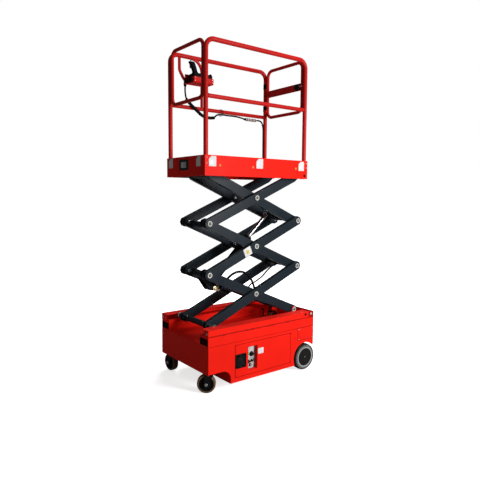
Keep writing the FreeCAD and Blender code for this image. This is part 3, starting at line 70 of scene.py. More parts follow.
# camera, at the photograph's angle
camera = {"place": (-2687.0, -3519.4, 1610.7), "heading": 37.46, "tilt": -5.22, "roll": 0.37, "lens": 36.62}
heading, tilt, roll = (math.radians(camera[k]) for k in ("heading", "tilt", "roll"))
ahead = Vector((math.sin(heading) * math.cos(tilt), math.cos(heading) * math.cos(tilt), math.sin(tilt)))
flat = Vector((math.cos(heading), -math.sin(heading), 0))
upward = flat.cross(ahead)
across = flat * math.cos(roll) + upward * math.sin(roll)
upright = upward * math.cos(roll) - flat * math.sin(roll)
lensData = bpy.data.cameras.new("photoCamera")
lensData.lens = camera["lens"]
lensData.sensor_width = 36
lensData.clip_end = 60
photoCamera = bpy.data.objects.new("photoCamera", lensData)
photoCamera.matrix_world = Matrix.Translation(at(*camera["place"])) @ Matrix((across, upright,
                                                                              -ahead)).transposed().to_4x4()
bpy.context.collection.objects.link(photoCamera)
bpy.context.scene.camera = photoCamera
bpy.context.scene.view_settings.view_transform = "Standard"
print("camera placed")


# materials
class Nodes:
    def __init__(self, name):
        self.material = bpy.data.materials.new(name)
        self.material.use_nodes = True
        self.tree = self.material.node_tree
        self.shader = self.tree.nodes["Principled BSDF"]
        self.place = self.add("TexCoord").outputs["Object"]

    def add(self, kind, **settings):
        node = self.tree.nodes.new("ShaderNode" + kind)
        for key, value in settings.items():
            setattr(node, key, value)
        return node

    def join(self, source, target):
        self.tree.links.new(source, target)

    def noise(self, scale, detail=3.0, rough=0.5):
        node = self.add("TexNoise")
        for key, value in (("Scale", scale), ("Detail", detail), ("Roughness", rough)):
            node.inputs[key].default_value = value
        self.join(self.place, node.inputs["Vector"])
        return node.outputs["Fac"]

    def ramp(self, source, low, high, out=(0.0, 1.0), kind="LINEAR"):
        node = self.add("MapRange", interpolation_type=kind)
        for key, value in zip(("From Min", "From Max", "To Min", "To Max"), (low, high, *out)):
            node.inputs[key].default_value = value
        self.join(source, node.inputs["Value"])
        return node.outputs["Result"]

    def math(self, operation, a, b):
        node = self.add("Math", operation=operation)
        for socket, value in zip(node.inputs, (a, b)):
            if isinstance(value, (int, float)):
                socket.default_value = value
            else:
                self.join(value, socket)
        return node.outputs["Value"]

    def mix(self, factor, a, b):
        node = self.add("Mix", data_type="RGBA")
        self.join(factor, node.inputs["Factor"])
        for socket, value in zip((node.inputs[6], node.inputs[7]), (a, b)):
            if isinstance(value, tuple):
                socket.default_value = (*value, 1.0)
            else:
                self.join(value, socket)
        return node.outputs[2]

    def edges(self, radius):
        # how near a point lies to an outer edge, from 0 to 1
        bevel = self.add("Bevel", samples=6)
        bevel.inputs["Radius"].default_value = radius
        geometry = self.add("NewGeometry")
        dot = self.add("VectorMath", operation="DOT_PRODUCT")
        self.join(bevel.outputs["Normal"], dot.inputs[0])
        self.join(geometry.outputs["True Normal"], dot.inputs[1])
        return self.ramp(dot.outputs["Value"], 0.995, 0.9)

    def bump(self, source, distance, strength, edge):
        node = self.add("Bump")
        node.inputs["Distance"].default_value = distance
        node.inputs["Strength"].default_value = strength
        self.join(source, node.inputs["Height"])
        bevel = self.add("Bevel", samples=6)
        bevel.inputs["Radius"].default_value = edge
        self.join(bevel.outputs["Normal"], node.inputs["Normal"])
        self.join(node.outputs["Normal"], self.shader.inputs["Normal"])

    def set(self, **values):
        names = {"metal": "Metallic", "rough": "Roughness", "specular": "Specular IOR Level"}
        for key, value in values.items():
            self.shader.inputs[names[key]].default_value = value


def paint(name, color, dark, rough=0.34, specular=0.2, edgeWearAndSheen=0.35, edgeWearAndSheenColor=(0.35, 0.33, 0.31), edge=0.0012,
          dust=0.12):
    # sprayed paint: faint orange peel, worn edges, a little dust on what faces up; the paler edge marks are chipped
    # wear, and on the grey arms mostly a painted highlight along the edges
    n = Nodes(name)
    cloud = n.ramp(n.noise(2.3, 4.0), 0.35, 0.7)
    base = n.mix(cloud, color, dark)
    facing = n.add("NewGeometry")
    split = n.add("SeparateXYZ")
    n.join(facing.outputs["Normal"], split.inputs["Vector"])
    lying = n.ramp(split.outputs["Z"], 0.6, 1.0)
    dusty = n.math("MULTIPLY", n.math("MULTIPLY", lying, n.ramp(n.noise(9.0, 6.0, 0.65), 0.42, 0.75)), dust)
    base = n.mix(dusty, base, (0.55, 0.50, 0.46))
    edgeChipsAndSheen = n.math("MULTIPLY", n.edges(edge), n.ramp(n.noise(55.0, 5.0, 0.7), 0.56, 0.66))
    base = n.mix(n.math("MULTIPLY", edgeChipsAndSheen, edgeWearAndSheen), base, edgeWearAndSheenColor)
    n.join(base, n.shader.inputs["Base Color"])
    smear = n.noise(7.0, 5.0, 0.6)
    n.join(n.ramp(smear, 0.3, 0.75, (rough - 0.05, rough + 0.12)), n.shader.inputs["Roughness"])
    n.set(specular=specular)
    n.bump(n.noise(420.0, 2.0), 0.00012, 0.35, edge)
    return n.material


def metal(name, color, dark, rough=0.3):
    # bare or plated metal with a faint grain and stains
    n = Nodes(name)
    stain = n.ramp(n.noise(30.0, 5.0, 0.65), 0.4, 0.72)
    n.join(n.mix(stain, color, dark), n.shader.inputs["Base Color"])
    streak = n.noise(260.0, 3.0, 0.6)
    n.join(n.ramp(streak, 0.3, 0.7, (rough - 0.07, rough + 0.12)), n.shader.inputs["Roughness"])
    n.set(metal=1.0)
    n.bump(streak, 0.00006, 0.3, 0.0006)
    return n.material


def plastic(name, color, dark, rough=0.5, grain=900.0, depth=0.00012, specular=0.25):
    # moulded plastic or rubber with a fine grain
    n = Nodes(name)
    cloud = n.ramp(n.noise(14.0, 5.0, 0.6), 0.38, 0.72)
    n.join(n.mix(cloud, color, dark), n.shader.inputs["Base Color"])
    n.join(n.ramp(n.noise(25.0, 4.0), 0.3, 0.7, (rough - 0.06, rough + 0.1)), n.shader.inputs["Roughness"])
    n.set(specular=specular)
    n.bump(n.noise(grain, 2.0), depth, 0.5, 0.0008)
    return n.material


redPaint = paint("redPaint", (0.80, 0.014, 0.007), (0.71, 0.012, 0.006), specular=0.03, dust=0.01)
# a dark red for painted shade: the shadow lines under the band's step and round the cover plate, the door gaps and the
# welds in that shade; also the crease joint and the corner ears
seamShadeRed = paint("seamShadeRed", (0.36, 0.006, 0.005), (0.26, 0.005, 0.004), specular=0.03, dust=0.0)
# the chassis red darkened for the guard rails, gate, control stand and control box: painted shade for the upper parts,
# which get less light
railShadedPaint = paint("railShadedPaint", (0.50, 0.013, 0.010), (0.42, 0.010, 0.008), specular=0.10)
# dark blue-grey arms; their wide pale edge marks are mostly a painted highlight along the edges, with some chipped wear
greyPaint = paint("greyPaint", (0.011, 0.018, 0.025), (0.008, 0.013, 0.018), rough=0.32, specular=0.11, edgeWearAndSheen=0.9,
                  edgeWearAndSheenColor=(0.24, 0.28, 0.32), edge=0.0035, dust=0.05)
blackPaint = paint("blackPaint", (0.008, 0.008, 0.009), (0.005, 0.005, 0.006), rough=0.4, specular=0.06, dust=0.04)
tyreRubber = plastic("tyreRubber", (0.024, 0.024, 0.023), (0.014, 0.014, 0.013), rough=0.8, grain=500.0,
                     depth=0.0002, specular=0.06)
wallGrey = plastic("wallGrey", (0.15, 0.15, 0.145), (0.09, 0.09, 0.088), rough=0.75, grain=400.0, specular=0.06)
treadBrown = plastic("treadBrown", (0.17, 0.095, 0.05), (0.10, 0.058, 0.035), rough=0.6, grain=500.0, depth=0.0002)
hubBlack = plastic("hubBlack", (0.006, 0.006, 0.006), (0.010, 0.009, 0.008), rough=0.6, specular=0.08)
zincPlate = metal("zincPlate", (0.60, 0.60, 0.57), (0.42, 0.41, 0.38), rough=0.36)
pinSteel = metal("pinSteel", (0.62, 0.64, 0.66), (0.44, 0.45, 0.46), rough=0.28)
chromeRod = metal("chromeRod", (0.44, 0.45, 0.47), (0.36, 0.37, 0.39), rough=0.12)
brassFitting = metal("brassFitting", (0.86, 0.68, 0.40), (0.66, 0.50, 0.28), rough=0.26)
# pale, used only for the ring on one roller's rim: a painted highlight
rollerGlintWhite = plastic("rollerGlintWhite", (0.74, 0.74, 0.71), (0.60, 0.60, 0.57), rough=0.4)
plugGrey = plastic("plugGrey", (0.50, 0.46, 0.44), (0.34, 0.31, 0.30), rough=0.4)
ringPale = plastic("ringPale", (0.50, 0.50, 0.46), (0.38, 0.38, 0.35), rough=0.5, grain=600.0, specular=0.2)
centreGrey = plastic("centreGrey", (0.19, 0.19, 0.18), (0.11, 0.11, 0.10), rough=0.5, grain=600.0, specular=0.1)
tanPlate = plastic("tanPlate", (0.56, 0.22, 0.06), (0.46, 0.17, 0.05), rough=0.5, grain=1400.0, specular=0.05)
blackPlastic = plastic("blackPlastic", (0.007, 0.007, 0.008), (0.004, 0.004, 0.005), rough=0.55, specular=0.03)
hoseRubber = plastic("hoseRubber", (0.004, 0.004, 0.005), (0.007, 0.007, 0.007), rough=0.5, grain=700.0, specular=0.04)
batteryCase = plastic("batteryCase", (0.016, 0.016, 0.017), (0.010, 0.010, 0.011), rough=0.5, specular=0.1)
rimGrey = plastic("rimGrey", (0.34, 0.35, 0.34), (0.22, 0.23, 0.22), rough=0.55, grain=300.0)
rollerNylon = plastic("rollerNylon", (0.10, 0.09, 0.08), (0.06, 0.055, 0.05), rough=0.5)
# near-black red for painted shade: inside the rail pockets and on the control box's shaded end
paintedShadeDark = paint("paintedShadeDark", (0.02, 0.005, 0.004), (0.012, 0.004, 0.003), rough=0.6, specular=0.02)
wornSteel = metal("wornSteel", (0.30, 0.29, 0.27), (0.18, 0.16, 0.14), rough=0.45)
whitePlate = plastic("whitePlate", (0.66, 0.65, 0.65), (0.58, 0.57, 0.57), rough=0.35, grain=1400.0, depth=0.00004)
yellowPlate = plastic("yellowPlate", (0.56, 0.46, 0.05), (0.44, 0.38, 0.04), rough=0.4, grain=1400.0, depth=0.00004)
greenButton = plastic("greenButton", (0.03, 0.36, 0.08), (0.02, 0.28, 0.06), rough=0.3, grain=1200.0, depth=0.00004)
controlPlate = plastic("controlPlate", (0.50, 0.50, 0.49), (0.27, 0.25, 0.25), rough=0.5, grain=160.0)
print("materials made")

nodeFinish = {
    redPaint: ["base_pan", "end_panels", "side_panel_near", "side_panel_far", "deck_floor", "side_rail_near",
               "side_rail_far", "pivot_brackets", "door_near", "door_far", "platform_tray", "platform_floor",
               "platform_underframe"],
    railShadedPaint: ["guard_rail_near", "guard_rail_far", "end_loop", "gate", "control_stand", "control_box"],
    greyPaint: [f"{family}_{part}_{k}" for k in (1, 2, 3) for family, part in
                (("inner", "arms"), ("outer", "arms"), ("inner", "ties"))] + ["outer_tie_1"],
    blackPaint: ["drive_motors", "cylinder_barrel", "gate_latch", "caster_mounts", "caster_fork_near",
                 "caster_fork_far"],
    tyreRubber: ["drive_tyre_near", "drive_tyre_far"],
    treadBrown: ["caster_tread_near", "caster_tread_far"],
    hubBlack: ["drive_hub_near", "drive_hub_far", "caster_hub_near", "caster_hub_far"],
    pinSteel: ["inner_pins_1", "inner_pins_2", "outer_pins_1", "outer_pins_2", "outer_pins_3"],
    chromeRod: ["cylinder_rod"],
    rollerNylon: ["lower_rollers", "upper_rollers"],
    blackPlastic: ["power_unit", "latch_near", "latch_far", "joystick"],
    hoseRubber: ["hose_loop", "hose_link", "control_cable"],
    batteryCase: ["batteries"],
    controlPlate: ["control_station"],
}
for finish, names in nodeFinish.items():
    for name in names:
        mesh = nodes[name].data
        mesh.materials.clear()
        mesh.materials.append(finish)
print("frame painted")

# modelling, in millimetres from the chassis middle
middle = tuple(-1000 * shift)
faces = {"side": 380, "end": 590, "deck": 405, "floor": 1856}  # outer sides, ends, deck and platform floor


def begin():
    if bpy.context.mode != "OBJECT":
        bpy.ops.object.mode_set(mode="OBJECT")
    bpy.ops.object.select_all(action="DESELECT")


def take(piece):
    begin()
    piece.select_set(True)
    bpy.context.view_layer.objects.active = piece


def settle():
    # the selected piece's place goes into its mesh
    bpy.ops.object.transform_apply(location=True, rotation=True, scale=True)


def leave():
    bpy.ops.object.mode_set(mode="OBJECT")


def editAll():
    bpy.ops.object.mode_set(mode="EDIT")
    bpy.ops.mesh.select_all(action="SELECT")


def outward():
    editAll()
    bpy.ops.mesh.normals_make_consistent(inside=False)
    leave()


def named(name):
    # the new primitive, its place moved into its mesh
    piece = bpy.context.object
    piece.name = piece.data.name = name
    settle()
    return piece


def boxStart(name, low, high):
    begin()
    low, high = at(*low), at(*high)
    bpy.ops.mesh.primitive_cube_add(size=1, location=(low + high) / 2)
    bpy.context.object.scale = high - low
    return named(name)


def hexStart(name, height, radius, length):
    # an upright hexagon with its middle at a height over the origin of small()
    begin()
    bpy.ops.mesh.primitive_cylinder_add(vertices=6, radius=radius / 1000, depth=length / 1000,
                                        location=at(middle[0], middle[1], height))
    return named(name)


def pick(piece, kind, test):
    # selects faces by their middle and normal, or edges by their two ends
    take(piece)
    bpy.ops.object.mode_set(mode="EDIT")
    bpy.ops.mesh.select_mode(type=kind)
    bpy.ops.mesh.select_all(action="DESELECT")
    leave()
    if kind == "FACE":
        for face in piece.data.polygons:
            face.select = bool(test((face.center - shift) * 1000, face.normal))
    else:
        points = [(v.co - shift) * 1000 for v in piece.data.vertices]
        for edge in piece.data.edges:
            edge.select = bool(test(points[edge.vertices[0]], points[edge.vertices[1]]))
    bpy.ops.object.mode_set(mode="EDIT")


def push(direction):
    bpy.ops.mesh.extrude_region_move(TRANSFORM_OT_translate={"value": Vector(direction) / 1000})


def inset(width, depth=0.0):
    bpy.ops.mesh.inset(thickness=width / 1000, depth=depth / 1000)


def pickSide(piece, way):
    # selects the faces that look along "+x", "-y" and so on
    k, sign = "xyz".index(way[1]), 1 if way[0] == "+" else -1
    pick(piece, "FACE", lambda c, n: sign * n[k] > 0.9)


def stepped(piece, way, width, move):
    # a side's middle moved in or out, inside a border
    pickSide(piece, way)
    inset(width)
    push(move)


def roundPlate(name, low, high, axis, corner, segments=3):
    # a thin box with its four corners rounded
    piece = boxStart(name, low, high)
    roundEdges(piece, along(axis), corner, segments)
    return piece


def along(axis):
    # a test for the edges that run along an axis
    others = [k for k in range(3) if k != "xyz".index(axis)]
    return lambda a, b: all(abs(a[k] - b[k]) < 0.01 for k in others)


def roundEdges(piece, test, width, segments=3):
    pick(piece, "EDGE", test)
    bpy.ops.mesh.bevel(offset=width / 1000, segments=segments, affect="EDGES")


def turned(name, rows, centre, axis, steps=40, closed=False):
    # a profile of (radius, distance along the axis), spun all the way round
    begin()
    out = Vector({"x": (0, 0, 1), "y": (0, 0, 1), "z": (1, 0, 0)}[axis])
    ahead = Vector({"x": (1, 0, 0), "y": (0, 1, 0), "z": (0, 0, 1)}[axis])
    points = [at(*centre) + (out * radius + ahead * distance) / 1000 for radius, distance in rows]
    if closed:
        points.append(points[0])
    bpy.ops.mesh.primitive_plane_add(size=0.01, location=points[0])
    bpy.ops.object.mode_set(mode="EDIT")
    bpy.ops.mesh.select_mode(type="VERT")
    bpy.ops.mesh.select_all(action="SELECT")
    bpy.ops.mesh.merge(type="CENTER")
    for a, b in zip(points, points[1:]):
        bpy.ops.mesh.extrude_region_move(TRANSFORM_OT_translate={"value": b - a})
    bpy.ops.mesh.select_all(action="SELECT")
    bpy.ops.mesh.spin(steps=steps, angle=2 * math.pi, center=at(*centre), axis=ahead)
    bpy.ops.mesh.select_all(action="SELECT")
    bpy.ops.mesh.remove_doubles(threshold=0.000002)
    bpy.ops.mesh.normals_make_consistent(inside=False)
    leave()
    return named(name)


def small(name, rows, sides, closed=False):
    # a small part to be copied, turned about +Z and looking up
    return turned(name, rows, (middle[0], middle[1], 0), "z", sides, closed=closed)


def done(piece, finish, body="platform", bevel=0.0, angle=35, segments=2):
    # bevelled, painted and set on its body
    take(piece)
    if bevel:
        soft = piece.modifiers.new("edges", "BEVEL")
        soft.width, soft.segments = bevel / 1000, segments
        soft.limit_method, soft.angle_limit = "ANGLE", math.radians(40)
        bpy.ops.object.modifier_apply(modifier=soft.name)
    piece.data.materials.clear()
    piece.data.materials.append(finish)
    bpy.ops.object.shade_smooth_by_angle(angle=math.radians(angle))
    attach(piece, body)
    return piece


def joined(name, pieces):
    begin()
    for piece in pieces:
        piece.select_set(True)
    bpy.context.view_layer.objects.active = pieces[0]
    if len(pieces) > 1:
        bpy.ops.object.join()
    pieces[0].name = pieces[0].data.name = name
    return pieces[0]


def cloned(master, matrix):
    # a copy with its own mesh
    copy = master.copy()
    copy.data = master.data.copy()
    bpy.context.collection.objects.link(copy)
    copy.matrix_world = matrix
    return copy


def copied(master, place, facing=(0, 0, 1), turn=0.0, size=1.0):
    # a copy whose +Z looks along facing
    look = Vector(facing).to_track_quat("Z", "Y").to_matrix().to_4x4()
    return cloned(master, Matrix.Translation(at(*place)) @ look @ Matrix.Rotation(turn, 4, "Z")
                  @ Matrix.Scale(size, 4))


def spread(name, master, rows, finish, body="platform", angle=35):
    # one piece from a small part's copies
    piece = joined(name, [copied(master, *row) for row in rows])
    take(piece)
    settle()
    return done(piece, finish, body, angle=angle)


def bothSides(y, spots, *rest):
    # rows for spread() at (x, z) spots, facing outwards on the near and far side
    return [((x, sign * y, z), (0, sign, 0), *rest) for sign in (-1, 1) for x, z in spots]


def flipped(piece, name, body, finish):
    # the same piece on the far side
    take(piece)
    bpy.ops.object.duplicate()
    twin = bpy.context.object
    twin.name = twin.data.name = name
    twin.location.y += 2 * shift.y
    twin.scale.y = -1
    settle()
    outward()
    return done(twin, finish, body)


def away(*pieces):
    for piece in pieces:
        bpy.data.objects.remove(piece)


# small parts that repeat, each modelled once, looking up
def hexHead(name, across, height, washer):
    head = hexStart(name + "Head", height / 2 + 1.2, across / 2, height)
    stepped(head, "+z", across * 0.06, (0, 0, height * 0.12))
    disc = small(name + "Disc", [(0, 0), (washer, 0), (washer, 0.9), (washer - 0.5, 1.3), (0, 1.3)], 24)
    return joined(name, [head, disc])


def domeHead(name, radius, height):
    rows = [(0, 0), (radius, 0), (radius, height * 0.3), (radius * 0.8, height * 0.8), (radius * 0.42, height),
            (radius * 0.36, height * 0.45), (0, height * 0.45)]
    return small(name, rows, 16)


bolt = hexHead("bolt", 17, 6, 10)
screw = domeHead("screw", 4.5, 2.6)
rivet = small("rivet", [(0, 0), (4, 0), (3.4, 1.2), (1.8, 2.0), (0, 2.1)], 14)
nipple = small("nipple", [(0, 0), (5.5, 0), (5.5, 4), (3, 5), (3, 8), (4, 9), (3.6, 11.5), (2, 13), (0, 13)], 16)
weld = small("weld", [(0, 0), (3.6, 0), (3.0, 1.8), (1.4, 2.6), (0, 2.7)], 10)
print("small parts made")

# drive wheels
wheel = {"x": 481, "z": 123, "inner": 308, "lugs": 40, "strokes": 34, "tread": 119.5}


def driveWheel(side, sign, body):
    face = [(85.2, 1), (100, 0), (112, 2), (wheel["tread"], 10), (wheel["tread"], 37), (117.5, 38.5), (117.5, 41.5),
            (wheel["tread"], 43), (wheel["tread"], 70), (112.5, 78), (110.8, 78.6), (110.8, 76.4), (85.2, 76.4)]
    centre = (wheel["x"], wheel["inner"], wheel["z"])
    tyre = turned("tyreBody", face, centre, "y", 72, closed=True)
    lug = boxStart("lug", (wheel["x"] - 4.2, 350, 121 + 114), (wheel["x"] + 4.2, 385.5, 245.6))
    pickSide(lug, "+y")
    bpy.ops.transform.translate(value=(0.006, 0, -0.0065))
    bpy.ops.transform.resize(value=(0.8, 1, 0.55))
    pickSide(lug, "-y")
    bpy.ops.transform.translate(value=(-0.006, 0, 0))
    roundEdges(lug, lambda a, b: min(a.z, b.z) > 236 and abs(a.x - b.x) < 8, 1.4, 1)
    begin()
    parts = [tyre]
    spot = at(wheel["x"], 0, wheel["z"])
    for k in range(wheel["lugs"]):
        for flip in (1, -1):
            turn = Matrix.Rotation(2 * math.pi * (k + (0.5 if flip < 0 else 0)) / wheel["lugs"], 4, "Y")
            fold = Matrix.Identity(4)
            if flip < 0:
                fold = Matrix.Translation((0, 2 * at(0, 348, 0).y, 0)) @ Matrix.Scale(-1, 4, (0, 1, 0))
            parts.append(cloned(lug, Matrix.Translation(spot) @ turn @ Matrix.Translation(-spot) @ fold))
    away(lug)
    stroke = boxStart("stroke", (wheel["x"] - 1.7, 386.4, wheel["z"] + 95), (wheel["x"] + 1.7, 387.9, wheel["z"] + 109))
    pickSide(stroke, "+z")
    bpy.ops.transform.translate(value=(0.009, 0, 0))
    leave()
    for k in range(wheel["strokes"]):
        turn = Matrix.Rotation(2 * math.pi * k / wheel["strokes"], 4, "Y")
        parts.append(cloned(stroke, Matrix.Translation(spot) @ turn @ Matrix.Translation(-spot)))
    away(stroke)
    piece = joined(f"tyre_{side}", parts)
    take(piece)
    settle()
    wall = turned(f"tyreWall_{side}", [(92.4, 75), (92.4, 78.8), (97, 79.3), (104, 78.7), (109, 78.9), (111, 78),
                                       (111, 75)], centre, "y", 72, closed=True)
    ring = turned(f"hubRing_{side}", [(92.5, 75), (92.5, 79.2), (90, 79.8), (84.5, 79.8), (82.4, 78.6), (81.6, 74)],
                  centre, "y", 64, closed=True)
    disc = turned(f"hubDisc_{side}", [(0, 77.6), (5, 77.6), (6, 76.8), (30, 76.4), (72, 75.6), (77, 76.8),
                                      (82.2, 76.4), (82.2, 73), (0, 73)], centre, "y", 64)
    cap = turned(f"hubCap_{side}", [(0, 78.8), (3, 78.8), (4.4, 78.2), (4.8, 76), (0, 76)], centre, "y", 24)
    pieces = [(piece, tyreRubber), (wall, wallGrey), (ring, rimGrey), (disc, hubBlack), (cap, zincPlate)]
    for item, finish in pieces:
        take(item)
        outward()
        if sign < 0:
            item.location.y = 2 * shift.y
            item.scale.y = -1
            settle()
            outward()
        done(item, finish, body)
    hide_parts(f"drive_tyre_{side}")


driveWheel("near", -1, "drive_wheel_near")
driveWheel("far", 1, "drive_wheel_far")
print("drive wheels made")

# casters: nuts, hub plates with ribs, plate bolts and swivel crowns
caster = {"x": -506, "y": 307, "trail": 45, "radius": 77}
for side, sign, turnDegrees in (("near", -1, 142.5), ("far", 1, 95)):
    turn = math.radians(turnDegrees)
    pivot = Vector((caster["x"], sign * caster["y"], 0))
    ahead = Vector((math.cos(turn), math.sin(turn), 0))
    axle = Vector((-math.sin(turn), math.cos(turn), 0))
    hub = pivot + ahead * caster["trail"] + Vector((0, 0, caster["radius"]))
    spread(f"axleNuts_{side}", bolt, [(tuple(hub + axle * 39.5 * way), tuple(axle * way), 0.3, 1.35)
                                      for way in (1, -1)], zincPlate, f"caster_swivel_{side}")
    disc = small("ribPlate", [(0, 0), (21, 0), (21, 3), (24, 4), (50, 1.5), (52, 0.5), (52, -2), (0, -2)], 40)
    rib = boxStart("rib", (middle[0] + 20, middle[1] - 2.5, 0), (middle[0] + 51, middle[1] + 2.5, 9))
    pickSide(rib, "+x")
    bpy.ops.transform.resize(value=(1, 0.7, 0.5))
    bpy.ops.transform.translate(value=(0, 0, -0.002))
    leave()
    ribs = [copied(rib, middle, (0, 0, 1), 2 * math.pi * k / 6) for k in range(6)]
    away(rib)
    wheelPlate = joined("wheelPlate", [disc] + ribs)
    take(wheelPlate)
    settle()
    spread(f"hubPlates_{side}", wheelPlate, [(tuple(hub + axle * 12 * way), tuple(axle * way)) for way in (1, -1)],
           hubBlack, f"caster_wheel_{side}")
    away(wheelPlate)
    spread(f"mountBolts_{side}", bolt, [((pivot.x + dx, pivot.y + dy, 181.6), (0, 0, -1), 0.2, 0.9)
                                        for dx in (-40, 40) for dy in (-32, 32)], zincPlate, "chassis")
    crown = turned(f"swivelCrown_{side}", [(22, -13), (34, -13), (37, -9), (37, -4), (33, 0), (22, 0)],
                   (pivot.x, pivot.y, 182), "z", 36, closed=True)
    done(crown, wornSteel, "chassis")
print("casters dressed")

# doors: latch paddles, hinge pins, blank plate, hems and the screwed cover plates
latch = {"left": -322, "right": -209, "low": 176, "high": 297, "face": -385.4}


def latchPiece(name, body):
    frame = roundPlate(name, (latch["left"], latch["face"], latch["low"]),
                       (latch["right"], -faces["side"], latch["high"]), "y", 12, 4)
    pickSide(frame, "-y")
    inset(6)
    inset(2)
    push((0, 3.4, 0))
    return done(frame, blackPlastic, body, bevel=0.8)


def paddlePiece(name):
    paddle = boxStart(name, (-304, -385.4, 192), (-234, -382, 282))
    stepped(paddle, "-y", 5, (0, 1.4, 0))
    pick(paddle, "FACE", lambda c, n: n.y < -0.5 and abs(c.x + 273) < 20)
    inset(12)
    push((0, -1.2, 0))
    return done(paddle, hubBlack, "door_near", bevel=0.7)


nearLatch = latchPiece("latchFrame_near", "door_near")
nearPaddle = paddlePiece("latchPaddle_near")
lock = turned("latchLock_near", [(0, -1.5), (3, -1.5), (3, -2.8), (8, -3), (9.5, -2), (9.5, 1), (0, 1)],
              (-222, -383, 236), "y", 28)
done(lock, blackPlastic, "door_near")
for piece, name, finish in ((nearLatch, "latchFrame_far", blackPlastic), (nearPaddle, "latchPaddle_far", hubBlack),
                            (lock, "latchLock_far", blackPlastic)):
    flipped(piece, name, "door_far", finish)
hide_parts("latch_near")
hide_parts("latch_far")

cover = {"low": (393, -381.8, 290), "high": (583, -faces["side"], 402)}
nearCover = roundPlate("coverPlate_near", cover["low"], cover["high"], "y", 4, 2)
done(nearCover, redPaint, "chassis", bevel=0.5)
flipped(nearCover, "coverPlate_far", "chassis", redPaint)
hem = boxStart("sideHem_near", (-356, -381.4, 64), (342, -faces["side"], 92))
stepped(hem, "-y", 2.5, (0, 0.7, 0))
done(hem, redPaint, "chassis", bevel=0.4)
flipped(hem, "sideHem_far", "chassis", redPaint)
coverSpots = [(x, z) for x in (402, 574) for z in (299, 393)]
spread("coverScrews", screw, bothSides(381.8, coverSpots, 0.0, 0.9), ringPale, "chassis")

for sign, side in ((-1, "near"), (1, "far")):
    spread(f"hingePins_{side}", rivet, [((300, sign * faces["side"], z), (0, 0, way), 0.0, 0.95)
                                        for z, way in ((129, -1), (163, 1), (317, -1), (351, 1))], redPaint,
           f"door_{side}")

note = roundPlate("blankPlate", (-79, -381.4, 259), (-19, -faces["side"], 308), "y", 3)
done(note, whitePlate, "door_near", bevel=0.4)
spread("blankPlateRivet", rivet, [((-49, -381.3, 286), (0, -1, 0), 0.0, 0.9)], wornSteel, "door_near")

# recess: control plate with button, selector, switches, lever and screws
panelFront = -344
face = roundPlate("controlFace", (-184, panelFront - 1.6, 150), (-90, panelFront, 336), "y", 5)
done(face, controlPlate, "chassis", bevel=0.4)
recessParts = {
    "goButton": ((-163, panelFront, 268), [(0, -13), (6, -12.4), (11, -10), (12.6, -7.4), (13, -2), (16, -1.8),
                                           (17, 0), (0, 0)], greenButton),
    "selectorBase": ((-125, panelFront, 262), [(0, -17), (14, -17), (17.6, -14), (18, -5), (21, -4.5), (22, 0),
                                               (0, 0)], hubBlack),
    "keySwitch": ((-139, panelFront, 168), [(0, -6), (5, -6), (5, -10), (10, -10.4), (12.6, -9), (13.5, 0), (0, 0)],
                  blackPlastic),
}
for name, (place, rows, finish) in recessParts.items():
    done(turned(name, rows, place, "y", 32), finish, "chassis")
toggle = small("toggle", [(0, 0), (9, 0), (9, 3), (5.6, 4), (5.6, 14), (4.4, 15), (3.6, 19), (4.4, 24), (3, 26),
                          (0, 26.4)], 18)
spread("toggles", toggle, [((-155, panelFront, 206), (0, -1, 0)), ((-123, panelFront, 206), (0, -1, 0))],
       blackPlastic, "chassis")
away(toggle)
lever = boxStart("dropLever", (-150, -362, 196), (-116, -354, 207))
pickSide(lever, "-x")
push((-14, 2, -14))
pickSide(lever, "+x")
push((8, 0, 14))
done(lever, blackPlastic, "chassis", bevel=2.4, segments=3)
selector = boxStart("selectorGrip", (-138, -368, 257), (-112, -361, 267))
stepped(selector, "-y", 1.5, (0, -3, 0))
done(selector, batteryCase, "chassis", bevel=1.2)
spread("controlScrews", screw, [((x, panelFront - 1.6, z), (0, -1, 0)) for x in (-178, -97) for z in (156, 330)],
       wornSteel, "chassis")
frameRing = roundPlate("recessTrim", (-191, -381.2, 136), (-83, -379.9, 344), "y", 4, 2)
pick(frameRing, "FACE", lambda c, n: abs(n.y) > 0.9)
inset(4.2)
bpy.ops.mesh.bridge_edge_loops()
done(frameRing, redPaint, "door_near", bevel=0.3)
print("doors and controls made")

# seams and painted shade on the sides: a painted shadow line under the upper band's step, the crease line where the
# side panel meets the rail (a joint, darkened also as painted shade), painted shadow gaps round the cover plate, and a
# dark ring behind the door gaps as painted shade in them
seamShades = {"width": 3.4, "proud": 0.5, "step": (484.2, 493), "crease": 405, "ends": (-586, 586)}


def seamShade(name, x0, x1, z0, z1):
    # a thin strip in the dark red, just proud of the near side: a painted shadow line
    face = -faces["side"]
    line = boxStart(name, (x0, face - seamShades["proud"], z0), (x1, face, z1))
    roundEdges(line, lambda a, b: a.y < face - 0.1 and b.y < face - 0.1, 0.3, 1)
    leave()
    return line


half = seamShades["width"] / 2
low, high = cover["low"], cover["high"]
lines = [seamShade("creaseLine", *seamShades["ends"], seamShades["crease"] - half, seamShades["crease"] + half),
         seamShade("stepLine", *seamShades["ends"], *seamShades["step"]),
         # the cover plate's four edges: painted shadow gaps
         seamShade("coverLeft", low[0] - 4, low[0], low[2] - 4, high[2] + 4),
         seamShade("coverRight", high[0], high[0] + 4, low[2] - 4, high[2] + 4),
         seamShade("coverTop", low[0], high[0], high[2], high[2] + 4),
         seamShade("coverBottom", low[0], high[0], low[2] - 4, low[2])]
nearSeamShades = joined("seamShades_near", lines)
done(nearSeamShades, seamShadeRed, "chassis")
flipped(nearSeamShades, "seamShades_far", "chassis", seamShadeRed)
